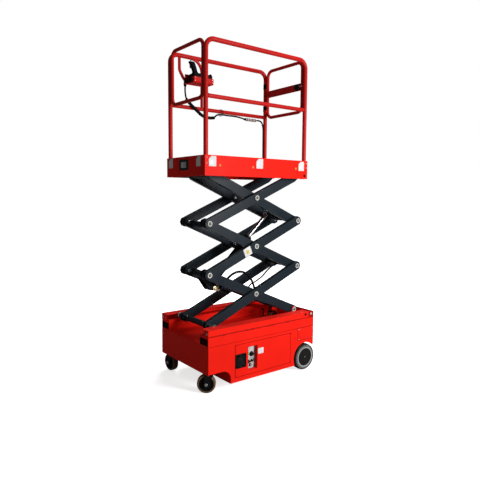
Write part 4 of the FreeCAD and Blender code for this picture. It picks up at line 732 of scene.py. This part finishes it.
# a dark ring behind the door's edges, seen only through the gaps: painted shade in the gaps
surround = boxStart("doorGapShade_near", (-340, -374.6, 80), (322, -372.6, 400))
pick(surround, "FACE", lambda c, n: abs(n.y) > 0.9)
inset(30)
bpy.ops.mesh.bridge_edge_loops()
done(surround, seamShadeRed, "chassis", bevel=0.3)
flipped(surround, "doorGapShade_far", "chassis", seamShadeRed)

# welds under the upper band, on both sides, in the dark red of the painted shadow line they sit on
random.seed(7)
weldRows = []
for sign in (-1, 1):
    for start, end in ((-205, -120), (-84, -58), (10, 92), (250, 300), (-470, -420)):
        x = start
        while x < end:
            weldRows.append(((x, sign * 380.2, 488 + random.uniform(-2.0, 1.4)), (0, sign, -0.5),
                             random.uniform(0, 3), random.uniform(1.2, 2.0)))
            x += random.uniform(4.4, 6.2)
spread("railWelds", weld, weldRows, seamShadeRed, "chassis", angle=50)
print("welds laid")

# ends of the side rails: dark sheets in the open pockets as painted shade, ears with a lifting hole, and pale rings
# round these holes and the end holes as a painted highlight
railEnd = {"pocketIn": 258, "pocketOut": 370, "pocketLow": 411.5, "pocketHigh": 469.5, "ear": (522, 587), "earLow": 491}
pocketShades = []
for sign in (-1, 1):
    sides = sorted((sign * railEnd["pocketIn"], sign * railEnd["pocketOut"]))
    pocketShade = boxStart("pocketShade", (-588.6, sides[0], railEnd["pocketLow"]), (-587, sides[1], railEnd["pocketHigh"]))
    stepped(pocketShade, "-x", 4, (1, 0, 0))
    leave()
    pocketShades.append(pocketShade)
done(joined("pocketShadeSheets", pocketShades), paintedShadeDark, "chassis")
# the corner ears are drawn in the same dark red
ear = boxStart("cornerEar_near", (railEnd["ear"][0], -380.7, railEnd["earLow"]),
               (railEnd["ear"][1], -faces["side"], 540))
roundEdges(ear, lambda a, b: along("y")(a, b) and a.x < 530, 8, 3)
stepped(ear, "-y", 4, (0, 0.3, 0))
done(ear, seamShadeRed, "chassis")
flipped(ear, "cornerEar_far", "chassis", seamShadeRed)
# pale rings round the lifting holes: a painted highlight on the holes' rims
holeGlint = small("holeGlint", [(0, 0.4), (7.5, 0.4), (8, 1.4), (9.6, 1.4), (10.4, 0), (0, 0)], 24)
spread("earHoles", holeGlint, bothSides(380.4, [(556, 521)])
       + [((-faces["end"], sign * 359, 511), (-1, 0, 0), 0.0, 0.9) for sign in (-1, 1)], ringPale, "chassis")
away(holeGlint)

# scissor: pin caps, tie welds, nipples, blank label
scissor = {"slope": 23.19, "span": 1083, "left": -459.48, "right": 536, "low": 524}
lean = math.radians(scissor["slope"])
span, leftPin, rightPin = scissor["span"], scissor["left"], scissor["right"]
levels = [scissor["low"] + k * span * math.sin(lean) for k in range(4)]
centrePin = (leftPin + rightPin) / 2


def onInner(k, distance, up, y):
    # a point of inner arm k, by its distance along from the upper pin and above the middle line
    return (leftPin + distance * math.cos(lean) + up * math.sin(lean), y,
            levels[k] - distance * math.sin(lean) + up * math.cos(lean))


def onOuter(k, distance, up, y):
    return (leftPin + distance * math.cos(lean) - up * math.sin(lean), y,
            levels[k - 1] + distance * math.sin(lean) + up * math.cos(lean))


pinRows = {
    "inner_stage_1": [(rightPin, levels[0], 177.3), (leftPin, levels[1], 209.3)],
    "inner_stage_2": [(leftPin, levels[2], 209.3)],
    "outer_stage_1": [(centrePin, (levels[0] + levels[1]) / 2, 209.3), (rightPin, levels[1], 209.3)],
    "outer_stage_2": [(centrePin, (levels[1] + levels[2]) / 2, 209.3), (rightPin, levels[2], 209.3)],
    "outer_stage_3": [(centrePin, (levels[2] + levels[3]) / 2, 209.3), (rightPin, levels[3], 222.3)],
}
capRing = small("capRing", [(13, 0), (22.8, 0), (22.8, 0.6), (21.8, 1.1), (14, 1.1), (13, 0.5)], 36, closed=True)
capCentre = small("capCentre", [(8.6, 0), (13.1, 0), (13.1, 0.3), (12.4, 0.5), (9.4, 0.5), (8.6, 0.2)], 28, closed=True)
capDot = small("capDot", [(0, 0), (8.8, 0), (8.8, 0.4), (7.6, 0.8), (2.8, 0.8), (2.2, 0.2), (0, 0.2)], 24)
for body, rows in pinRows.items():
    places = [((x, sign * y, z), (0, sign, 0)) for x, z, y in rows for sign in (-1, 1)]
    spread(f"pinRings_{body}", capRing, places, ringPale, body)
    spread(f"pinCentres_{body}", capCentre, places, hubBlack, body)
    spread(f"pinDots_{body}", capDot, places, centreGrey, body)
away(capRing, capCentre, capDot)
rollerFace = small("rollerFace", [(14, 0), (24.6, 0), (24, 0.9), (15, 0.9)], 36, closed=True)
spread("rollerFaces", rollerFace, [((leftPin, sign * 254.9, levels[0]), (0, -sign, 0)) for sign in (-1, 1)],
       batteryCase, "outer_stage_1")
away(rollerFace)
# a pale ring on the far lower roller's rim only: a painted highlight
rim = turned("rollerGlintRim", [(25.9, -9.5), (26.2, -9), (26.2, 9), (25.9, 9.5)], (leftPin, 265, levels[0]), "y", 40,
             closed=True)
done(rim, rollerGlintWhite, "outer_stage_1")

tieWeld = small("tieWeld", [(29.6, 0), (34.6, 0), (34, 1.4), (32.6, 2.4), (31.4, 4.2), (29.6, 4.8)], 36, closed=True)
for k in (1, 2, 3):
    rows = []
    for distance, up in ((50, 0), (993, -8)):
        rows += [(onInner(k, distance, up, sign * 118), (0, -sign, 0)) for sign in (-1, 1)]
    spread(f"tieWelds_{k}", tieWeld, rows, greyPaint, f"inner_stage_{k}", angle=60)
spread("outerTieWelds", tieWeld, [((leftPin, sign * 163, levels[0]), (0, -sign, 0), 0.0, 0.87) for sign in (-1, 1)],
       greyPaint, "outer_stage_1", angle=60)
away(tieWeld)
spread("tieNipples", nipple, [((leftPin - 15, sign * 128, levels[0] + 20.5), (-0.55, 0, 0.83), 0.0, 1.0)
                              for sign in (-1, 1)], zincPlate, "outer_stage_1")
for k in (1, 2, 3):
    for family, place in (("inner", onInner), ("outer", onOuter)):
        y = 152 if family == "inner" else 197
        rows = [(place(k, span / 2 + 78, 40, sign * y), (place(k, 0, 1, 0)[0] - place(k, 0, 0, 0)[0], 0,
                 place(k, 0, 1, 0)[2] - place(k, 0, 0, 0)[2]), 0.0, 0.55) for sign in (-1, 1)]
        spread(f"armNipples_{family}_{k}", nipple, rows, zincPlate, f"{family}_stage_{k}")

label = {"along": 436, "long": 82, "high": 74, "thick": 0.8}


def onArmPlate(name, along0, along1, up0, up1, thick, finish, edge):
    # a thin plate on the near outer arm of the second stage
    plate = boxStart(name, (middle[0] + along0, middle[1] - thick, up0), (middle[0] + along1, middle[1], up1))
    roundEdges(plate, along("y"), edge, 3)
    leave()
    plate.matrix_world = (Matrix.Translation(at(leftPin, -203, levels[1])) @ Matrix.Rotation(-lean, 4, "Y"))
    take(plate)
    settle()
    return done(plate, finish, "outer_stage_2", bevel=0.2)


onArmPlate("armLabel", label["along"] - label["long"] / 2, label["along"] + label["long"] / 2, -label["high"] / 2,
           label["high"] / 2, label["thick"], whitePlate, 3)
onArmPlate("armLabelMark", label["along"] - 16, label["along"] + 14, -18, 16, label["thick"] + 0.4, yellowPlate, 5)
print("scissor dressed")

# lifting cylinder: gland, wiper, bands, eye bushes, port fitting; hose ends, elbow and sleeves
ram = {"base": (-335.0, 814.45), "slope": math.radians(43.515), "length": 923.28}
ramAhead = (math.cos(ram["slope"]), 0, math.sin(ram["slope"]))
ramDown = (math.sin(ram["slope"]), 0, -math.cos(ram["slope"]))


def onRam(distance, down=0.0, y=0.0):
    return (ram["base"][0] + distance * ramAhead[0] + down * ramDown[0], y,
            ram["base"][1] + distance * ramAhead[2] + down * ramDown[2])


gland = small("gland", [(18.6, 0), (34, 0), (36, 2), (36, 4), (31, 5), (31, 10), (28, 12), (21, 13), (20, 15),
                        (18.6, 15)], 40, closed=True)
spread("cylinderGland", gland, [(onRam(600), ramAhead)], wornSteel, "cylinder_barrel")
wiper = small("wiper", [(18.1, 0), (20.4, 0), (20, 3), (18.1, 4)], 36, closed=True)
spread("rodWiper", wiper, [(onRam(614.8), ramAhead)], blackPlastic, "cylinder_barrel")
band = small("band", [(32.1, -7), (33.6, -6.4), (33.6, 6.4), (32.1, 7)], 40, closed=True)
spread("barrelBands", band, [(onRam(d), ramAhead) for d in (110, 300, 520)], zincPlate, "cylinder_barrel")
bush = small("bush", [(15.2, 0), (23, 0), (22, 1.4), (16, 1.4)], 32, closed=True)
spread("rodEyeBushes", bush, [(onRam(ram["length"], 0, sign * 28), (0, sign, 0)) for sign in (-1, 1)], wornSteel,
       "cylinder_rod")
spread("portFitting", bolt, [(onRam(72, 45), ramDown, 0.4, 1.5)], brassFitting, "cylinder_barrel")
away(gland, wiper, band, bush)

ferrule = small("ferrule", [(0, 0), (9.6, 0), (10, 1), (9.2, 4), (10, 6), (9.2, 9), (10, 11), (9.2, 14), (10, 16),
                            (9.2, 19), (10, 21), (9.6, 30), (7.6, 32), (0, 32)], 24)
hexNut = hexStart("hexNut", -6, 12, 13)
pick(hexNut, "FACE", lambda centre, normal: abs(normal.z) > 0.9)
inset(1.4, 0.8)
leave()
hoseEnds = {
    "loopEnds": ("inner_stage_1", [((-262, -52, 790), (22, -10, 26)), ((410, -110.7, 584), (-150, 7.7, 56))]),
    "linkEnds": ("outer_stage_1", [((421.1, -62, 970.2), (-71.1, 2, -20.2), 0.0, 0.66),
                                   ((38.5, -104.7, 734), (11.5, 26.7, 42))]),
}
for name, (body, rows) in hoseEnds.items():
    spread(name + "Ferrules", ferrule, rows, zincPlate, body)
    spread(name + "Nuts", hexNut, [row for row in rows if len(row) == 2], brassFitting, body)
away(ferrule, hexNut)
elbow = boxStart("hoseElbow", (-318, -70, 790), (-286, -44, 824))
stepped(elbow, "-z", 3, (0, 0, -7))
stepped(elbow, "+x", 6, (32, 4, -16))
stepped(elbow, "-x", 4, (-9, 0, 0))
done(elbow, brassFitting, "inner_stage_1", bevel=1.2)


def sleeve(node, name, body, grow):
    # a sheath over a hose, its form grown from the hose's own
    take(nodes[node])
    bpy.ops.object.duplicate()
    piece = bpy.context.object
    piece.name = piece.data.name = name
    editAll()
    bpy.ops.mesh.remove_doubles(threshold=0.00002)
    bpy.ops.mesh.normals_make_consistent(inside=False)
    bpy.ops.transform.shrink_fatten(value=grow / 1000)
    leave()
    return done(piece, hoseRubber, body, angle=60)


sleeve("hose_loop", "loopSleeve", "inner_stage_1", 3.4)
sleeve("control_cable", "cableSleeve", "platform", 2.2)
print("cylinder and hoses dressed")

# deck: half loops of black hose, and a valve block with its nuts beside them
deckHose = {"radius": 7, "bend": 46, "rows": ((452, 20, 25), (500, 96, 160), (486, 232, 60))}
loops = []
for x, y, turnDegrees in deckHose["rows"]:
    hose = turned("deckLoop", [(deckHose["bend"] + deckHose["radius"] * math.cos(a), deckHose["radius"] * math.sin(a))
                               for a in (k * math.pi / 4 for k in range(8))], (middle[0], middle[1], 0), "y", 36,
                  closed=True)
    loops.append(copied(hose, (x, y, 416), (0, 0, 1), math.radians(turnDegrees)))
    away(hose)
loopSet = joined("deckHoses", loops)
take(loopSet)
settle()
editAll()
bpy.ops.mesh.bisect(plane_co=at(0, 0, faces["deck"] + 0.2), plane_no=(0, 0, 1), clear_inner=True, use_fill=True)
leave()
done(loopSet, hoseRubber, "chassis", angle=60)
block = boxStart("valveBlock", (436, 30, faces["deck"]), (498, 102, 437))
stepped(block, "+z", 6, (0, 0, 8))
done(block, wornSteel, "chassis", bevel=1.5)
spread("valveNuts", bolt, [((x, y, 445), (0, 0, 1), 0.3, 0.9) for x in (452, 480) for y in (48, 84)], brassFitting,
       "chassis")

# platform: blank plates, dots, screws, grommets; holes of the side rails
tray = {"side": 300.6, "end": -570}
plateRows = [((-533, -463), (1838, 1920)), ((-51, 21), (1838, 1919)),
             ((441, 508), (1836, 1917))]


def cutPlate(name, low, high, axis, cutTest):
    # a plate with one cut corner
    plate = boxStart(name, low, high)
    roundEdges(plate, cutTest, 24, 1)
    roundEdges(plate, lambda a, b: along(axis)(a, b) and max(a.z, b.z) < high[2] - 1, 3, 2)
    return done(plate, whitePlate, bevel=0.3)


trayRivets = []
for n, ((x0, x1), (z0, z1)) in enumerate(plateRows, 1):
    near = cutPlate(f"sidePlate_near_{n}", (x0, -tray["side"] - 1.2, z0), (x1, -tray["side"], z1), "y",
                    lambda a, b: along("y")(a, b) and a.x < x0 + 1 and a.z > z1 - 1)
    flipped(near, f"sidePlate_far_{n}", "platform", whitePlate)
    for sign in (-1, 1):
        trayRivets += [((x, sign * (tray["side"] + 1.1), z), (0, sign, 0), 0.0, 0.7)
                       for x, z in ((x0 + 7, z0 + 8), (x1 - 7, z0 + 8), (x1 - 7, z1 - 8))]
for n, (y0, y1) in enumerate(((198, 268), (-237, -176)), 1):
    cutPlate(f"endPlate_{n}", (tray["end"] - 1.2, y0, 1840), (tray["end"], y1, 1921), "x",
             lambda a, b: along("x")(a, b) and a.y > y1 - 1 and a.z > 1920)
    trayRivets += [((tray["end"] - 1.1, y, z), (-1, 0, 0), 0.0, 0.7) for y, z in
                   ((y0 + 7, 1848), (y1 - 7, 1848), (y0 + 7, 1913))]
spread("plateRivets", rivet, trayRivets, zincPlate)
dark = roundPlate("endDarkPlate", (tray["end"] - 1.4, -56, 1816), (tray["end"], 91, 1903), "x", 5)
stepped(dark, "-x", 5, (0.5, 0, 0))
done(dark, batteryCase, bevel=0.3)
lighter = roundPlate("endDarkInset", (tray["end"] - 1.6, -22, 1836), (tray["end"] - 0.6, 62, 1884), "x", 3, 2)
done(lighter, controlPlate, bevel=0.2)
dot = small("dot", [(0, 0), (10.5, 0), (10.5, 0.5), (9.9, 0.9), (0, 0.9)], 28)
spread("yellowDots", dot, bothSides(tray["side"], [(-426, 1849), (-87, 1846), (407, 1853)]), tanPlate)
away(dot)
spread("postScrews", screw, bothSides(tray["side"], [(-553, 1906), (-553, 1863), (537, 1905), (537, 1865)], 0.0, 1.2),
       ringPale)
grommet = small("grommet", [(0, -0.4), (9, -0.4), (9.6, 1.2), (11.6, 2), (13, 1.2), (13.4, 0), (0, 0)], 28)
spread("trayGrommets", grommet, bothSides(tray["side"], [(517, 1792)]), blackPlastic)
spread("railHoles", grommet, bothSides(faces["side"], [(486, 522)], 0.0, 0.95), blackPlastic, "chassis")
away(grommet)

# chequered floor: raised bars, every other one turned
bar = boxStart("bar", (middle[0] - 14, middle[1] - 3.2, 0), (middle[0] + 14, middle[1] + 3.2, 1.4))
pickSide(bar, "+z")
bpy.ops.transform.resize(value=(0.8, 0.5, 1))
pick(bar, "EDGE", lambda a, b: along("z")(a, b) or abs(a.z - b.z) > 1)
bpy.ops.mesh.bevel(offset=0.002, segments=1, affect="EDGES")
leave()
barRows = []
for i in range(27):
    for j in range(15):
        barRows.append(((-548 + 41 * i, -281 + 40 * j, faces["floor"]), (0, 0, 1),
                        math.radians(45 if (i + j) % 2 else -45)))
spread("floorBars", bar, [r for r in barRows if not (abs(r[0][0]) > 505 and abs(r[0][1]) > 255)], redPaint, angle=25)
away(bar)

# guard rails: weld fillets, foot brackets, gate bolts and latch lever
fillet = small("fillet", [(16.8, 0), (21.4, 0), (20.6, 1.6), (18.6, 2.6), (17.6, 4.4), (16.8, 4.6)], 32, closed=True)
spread("railFillets", fillet, [((x, sign * 277.3, 2385), (way, 0, 0)) for sign in (-1, 1)
                               for x, way in ((-529.5, 1), (511.5, -1))], railShadedPaint, angle=60)
away(fillet)
foot = boxStart("foot", (middle[0] - 34, middle[1] - 16, 0), (middle[0] + 34, middle[1] + 16, 6))
stepped(foot, "+z", 2, (0, 0, 2))
roundEdges(foot, along("z"), 4, 2)
leave()
spread("postFeet", foot, [((x, sign * 264, faces["floor"]), (0, 0, 1)) for x in (-530, 512) for sign in (-1, 1)],
       redPaint)
away(foot)
spread("footBolts", bolt, [((x + dx, sign * 257, 1863.6), (0, 0, 1), 0.5, 0.8) for x in (-530, 512)
                           for sign in (-1, 1) for dx in (-20, 20)], zincPlate)
spread("loopBolts", bolt, [((-549.7, sign * 250, z), (-1, 0, 0), 0.3, 0.62) for sign in (-1, 1)
                           for z in (2467, 2732)], zincPlate)
spread("gateBolts", bolt, [((531.7, sign * 200, 2602), (1, 0, 0), 0.3, 0.8) for sign in (-1, 1)], zincPlate, "gate")
spread("gateHingeScrews", screw, [((517, 246.4, z + dz), (0, 1, 0), 0.0, 0.8) for z in (2440, 2640)
                                  for dz in (-6, 6)], zincPlate, "gate")
clamp = small("clamp", [(19.1, -24), (21.4, -23), (21.4, -4), (20.2, -3), (20.2, 3), (21.4, 4), (21.4, 23),
                        (19.1, 24)], 28, closed=True)
spread("hingeClamps", clamp, [((528.7, 277.3, z), (0, 0, 1)) for z in (2466, 2682)], blackPlastic)
away(clamp)
throw = turned("throwBolt", [(0, -34), (6, -34), (7, -32), (7, 0), (0, 0)], (511, -222, 2602), "y", 20)
done(throw, zincPlate, "gate")
pull = turned("latchKnob", [(0, 0), (4, 0), (4, -9), (9, -11), (11, -15), (10, -21), (6, -24), (0, -24)],
              (508.8, -188, 2602), "x", 24)
done(pull, hubBlack, "gate")
spread("latchScrews", screw, [((508.6, y, z), (-1, 0, 0), 0.0, 0.8) for y in (-215, -160) for z in (2587, 2617)],
       zincPlate, "gate")
print("platform dressed")

# control box: console, guard, boot, grip, switches, screws; cable gland, ties and connectors
console = boxStart("console", (-392, 132, 2626.2), (-213, 242, 2652))
stepped(console, "+z", 9, (0, 0, 9))
stepped(console, "+z", 8, (0, 0, -2.4))
done(console, blackPlastic, bevel=2.4, segments=3)
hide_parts("joystick")
guard = boxStart("consoleGuard", (-222, 134, 2626.2), (-204, 237, 2652))
pickSide(guard, "+z")
push((-3, 0, 17.5))
pickSide(guard, "+z")
bpy.ops.transform.resize(value=(0.45, 0.86, 1))
done(guard, blackPlastic, bevel=3, segments=3)
bootRows = [(0, 0), (38, 0), (39, 3), (34, 6), (35, 9), (30, 12), (31, 15), (26, 18), (27, 21), (22, 24),
            (22.5, 27), (18, 31), (0, 31)]
done(turned("gripBoot", bootRows, (-342, 200, 2655), "z", 32), hoseRubber, angle=60)
grip = boxStart("grip", (-362, 182, 2660), (-326, 218, 2672))
steps = [((-5, 0, 20), (1.0, 1.0)), ((-8, 0, 22), (1.08, 1.0)), ((-9, 0, 22), (1.0, 1.0)), ((-9, 0, 18), (1.06, 1.0)),
         ((-5, 0, 9), (0.8, 0.84))]
for move, grow in steps:
    pick(grip, "FACE", lambda c, n: n.z > 0.55)
    push(move)
    bpy.ops.transform.resize(value=(grow[0], grow[1], 1))
pick(grip, "FACE", lambda c, n: n.x < -0.6 and c.z > 2735)
push((-9, 0, 3))
bpy.ops.transform.resize(value=(1, 0.75, 0.7))
done(grip, blackPlastic, bevel=4, segments=3, angle=50)
trigger = boxStart("gripTrigger", (-398, 195, 2716), (-386, 205, 2738))
pickSide(trigger, "-z")
push((7, 0, -12))
done(trigger, batteryCase, bevel=2.2, segments=3)
button = small("button", [(0, 0), (6, 0), (6, 2), (5, 3.4), (0, 3.8)], 20)
spread("gripButtons", button, [((-386, 193, 2771), (-0.1, 0, 1)), ((-386, 207, 2771), (-0.1, 0, 1))], batteryCase)
spread("consoleButtons", button, [((x, y, 2652.6), (0, 0, 1), 0.0, 1.1) for x in (-262, -238)
                                  for y in (160, 186, 212)], batteryCase)
away(button)
knob = turned("consoleKnob", [(0, 0), (15, 0), (15, 4), (11, 6), (11, 17), (9, 20), (0, 21)], (-296, 170, 2653), "z",
              28)
done(knob, hubBlack)
spread("boxScrews", screw, [((x, 127.9, z), (0, -1, 0), 0.0, 0.8) for x in (-386, -206) for z in (2594, 2616)],
       zincPlate)
spread("backPlateBolts", bolt, [((x, 249, 2600), (0, 1, 0), 0.3, 0.7) for x in (-372, -222)], zincPlate)
glandNut = turned("glandNut", [(5.4, 0), (12, 0), (13, -2), (13, -9), (9, -12), (8, -20), (5.4, -22)],
                  (-408, 260, 2574), "z", 24, closed=True)
done(glandNut, blackPlastic)
tieBand = turned("tieBand", [(31, -2.4), (32.4, -2), (32.4, 2), (31, 2.4)], (0, 270, 2373), "x", 40, closed=True)
bands = [cloned(tieBand, Matrix.Translation((x / 1000, 0, 0))) for x in (-12, -27)]
away(tieBand)
piece = joined("cableTies", bands)
take(piece)
settle()
done(piece, blackPlastic)
plugRows = [(0, 0), (10, 0), (13.5, 5), (13.5, 56), (9.4, 61), (9.4, 68), (13.5, 73), (13.5, 122), (10, 130), (0, 130)]
done(turned("cablePlugs", plugRows, (272, 268, 2342), "x", 20), plugGrey)
plugRing = small("plugRings", [(13.4, 0), (15, 0.8), (15, 7.2), (13.4, 8)], 20, closed=True)
spread("plugSleeves", plugRing, [((x, 268, 2342), (1, 0, 0)) for x in (284, 312, 352, 384)], blackPlastic)
away(plugRing)
boots = turned("plugBoots", [(0, 0), (7, 0), (12, 16), (12, 24), (0, 24)], (250, 268, 2342.5), "x", 20)
done(boots, blackPlastic)
# a near-black plate on the box's left end: painted shade on its shaded end
shade = roundPlate("boxEndShade", (-419.2, 133, 2578), (-418, 266, 2622), "x", 6)
stepped(shade, "-x", 5, (0.5, 0, 0))
done(shade, paintedShadeDark, bevel=0.3)
print("control box dressed")

# rear panel: charger flap with its hinge and screws
flap = roundPlate("chargerFlap", (faces["end"], -66, 300), (faces["end"] + 4, 66, 372), "x", 8)
stepped(flap, "+x", 7, (-1.4, 0, 0))
done(flap, blackPlastic, "chassis", bevel=0.8)
done(turned("flapHinge", [(0, -60), (4, -60), (4, -20), (3, -19), (4, -18), (4, 18), (3, 19), (4, 20), (4, 60),
                          (0, 60)], (594, 0, 376), "y", 16), zincPlate, "chassis")
spread("rearScrews", bolt, [((faces["end"], y, z), (1, 0, 0), 0.3, 0.7) for y in (-330, 330) for z in (250, 440)]
       + [((faces["end"], y, 280), (1, 0, 0), 0.3, 0.7) for y in (-150, 150)], zincPlate, "chassis")
spread("frontScrews", rivet, [((-faces["end"], y, z), (-1, 0, 0), 0.0, 1.3) for y in (-350, 350) for z in (200, 380)],
       redPaint, "chassis")
away(bolt, screw, rivet, nipple, weld)
print("rear panel made")

# studio: pale floor and backdrop, soft lamps
studio = {"floorSize": 60.0, "floorColor": (0.80, 0.80, 0.80), "floorBounce": (0.30, 0.30, 0.30), "floorGlow": 0.72,
          "shadowRoom": (1.1, 2.4), "worldLight": 0.16}
bpy.ops.object.select_all(action="DESELECT")
bpy.ops.mesh.primitive_plane_add(size=studio["floorSize"], location=(0, 0, 0))
floor = bpy.context.object
floor.name = "floor"
ground = Nodes("ground")
ground.set(rough=0.8, specular=0.0)
direct = ground.add("LightPath").outputs["Is Camera Ray"]
distance = ground.add("VectorMath", operation="LENGTH")
ground.join(ground.place, distance.inputs[0])
rise = ground.ramp(distance.outputs["Value"], *studio["shadowRoom"], (studio["floorGlow"], 1.0), "SMOOTHSTEP")
ground.join(ground.mix(direct, studio["floorBounce"], studio["floorColor"]), ground.shader.inputs["Base Color"])
ground.shader.inputs["Emission Color"].default_value = (1, 1, 1, 1)
ground.join(ground.math("MULTIPLY", direct, rise), ground.shader.inputs["Emission Strength"])
floor.data.materials.append(ground.material)

world = bpy.data.worlds.new("studio")
bpy.context.scene.world = world
world.use_nodes = True
tree = world.node_tree
lit = tree.nodes["Background"]
lit.inputs["Color"].default_value = (1, 1, 1, 1)
lit.inputs["Strength"].default_value = studio["worldLight"]
white = tree.nodes.new("ShaderNodeBackground")
white.inputs["Strength"].default_value = 1.0
white.inputs["Color"].default_value = (1, 1, 1, 1)
choose = tree.nodes.new("ShaderNodeMixShader")
tree.links.new(tree.nodes.new("ShaderNodeLightPath").outputs["Is Camera Ray"], choose.inputs["Fac"])
tree.links.new(lit.outputs["Background"], choose.inputs[1])
tree.links.new(white.outputs["Background"], choose.inputs[2])
tree.links.new(choose.outputs["Shader"], tree.nodes["World Output"].inputs["Surface"])

lamps = {
    "keyLamp": {"place": (1.5, -4.8, 2.0), "aim": (0, 0, 1.1), "size": 1.8, "power": 294},
    "topLamp": {"place": (0.9, -0.3, 5.8), "aim": (0, 0, 1.0), "size": 2.0, "power": 100},
    "backLamp": {"place": (3.4, 4.0, 3.2), "aim": (0, 0, 1.4), "size": 1.8, "power": 200},
}
for name, lamp in lamps.items():
    data = bpy.data.lights.new(name, "AREA")
    data.size, data.energy = lamp["size"], lamp["power"]
    obj = bpy.data.objects.new(name, data)
    obj.location = lamp["place"]
    obj.rotation_euler = (Vector(lamp["aim"]) - obj.location).to_track_quat("-Z", "Y").to_euler()
    obj.visible_glossy = name == "keyLamp"
    bpy.context.collection.objects.link(obj)
print("studio lit")
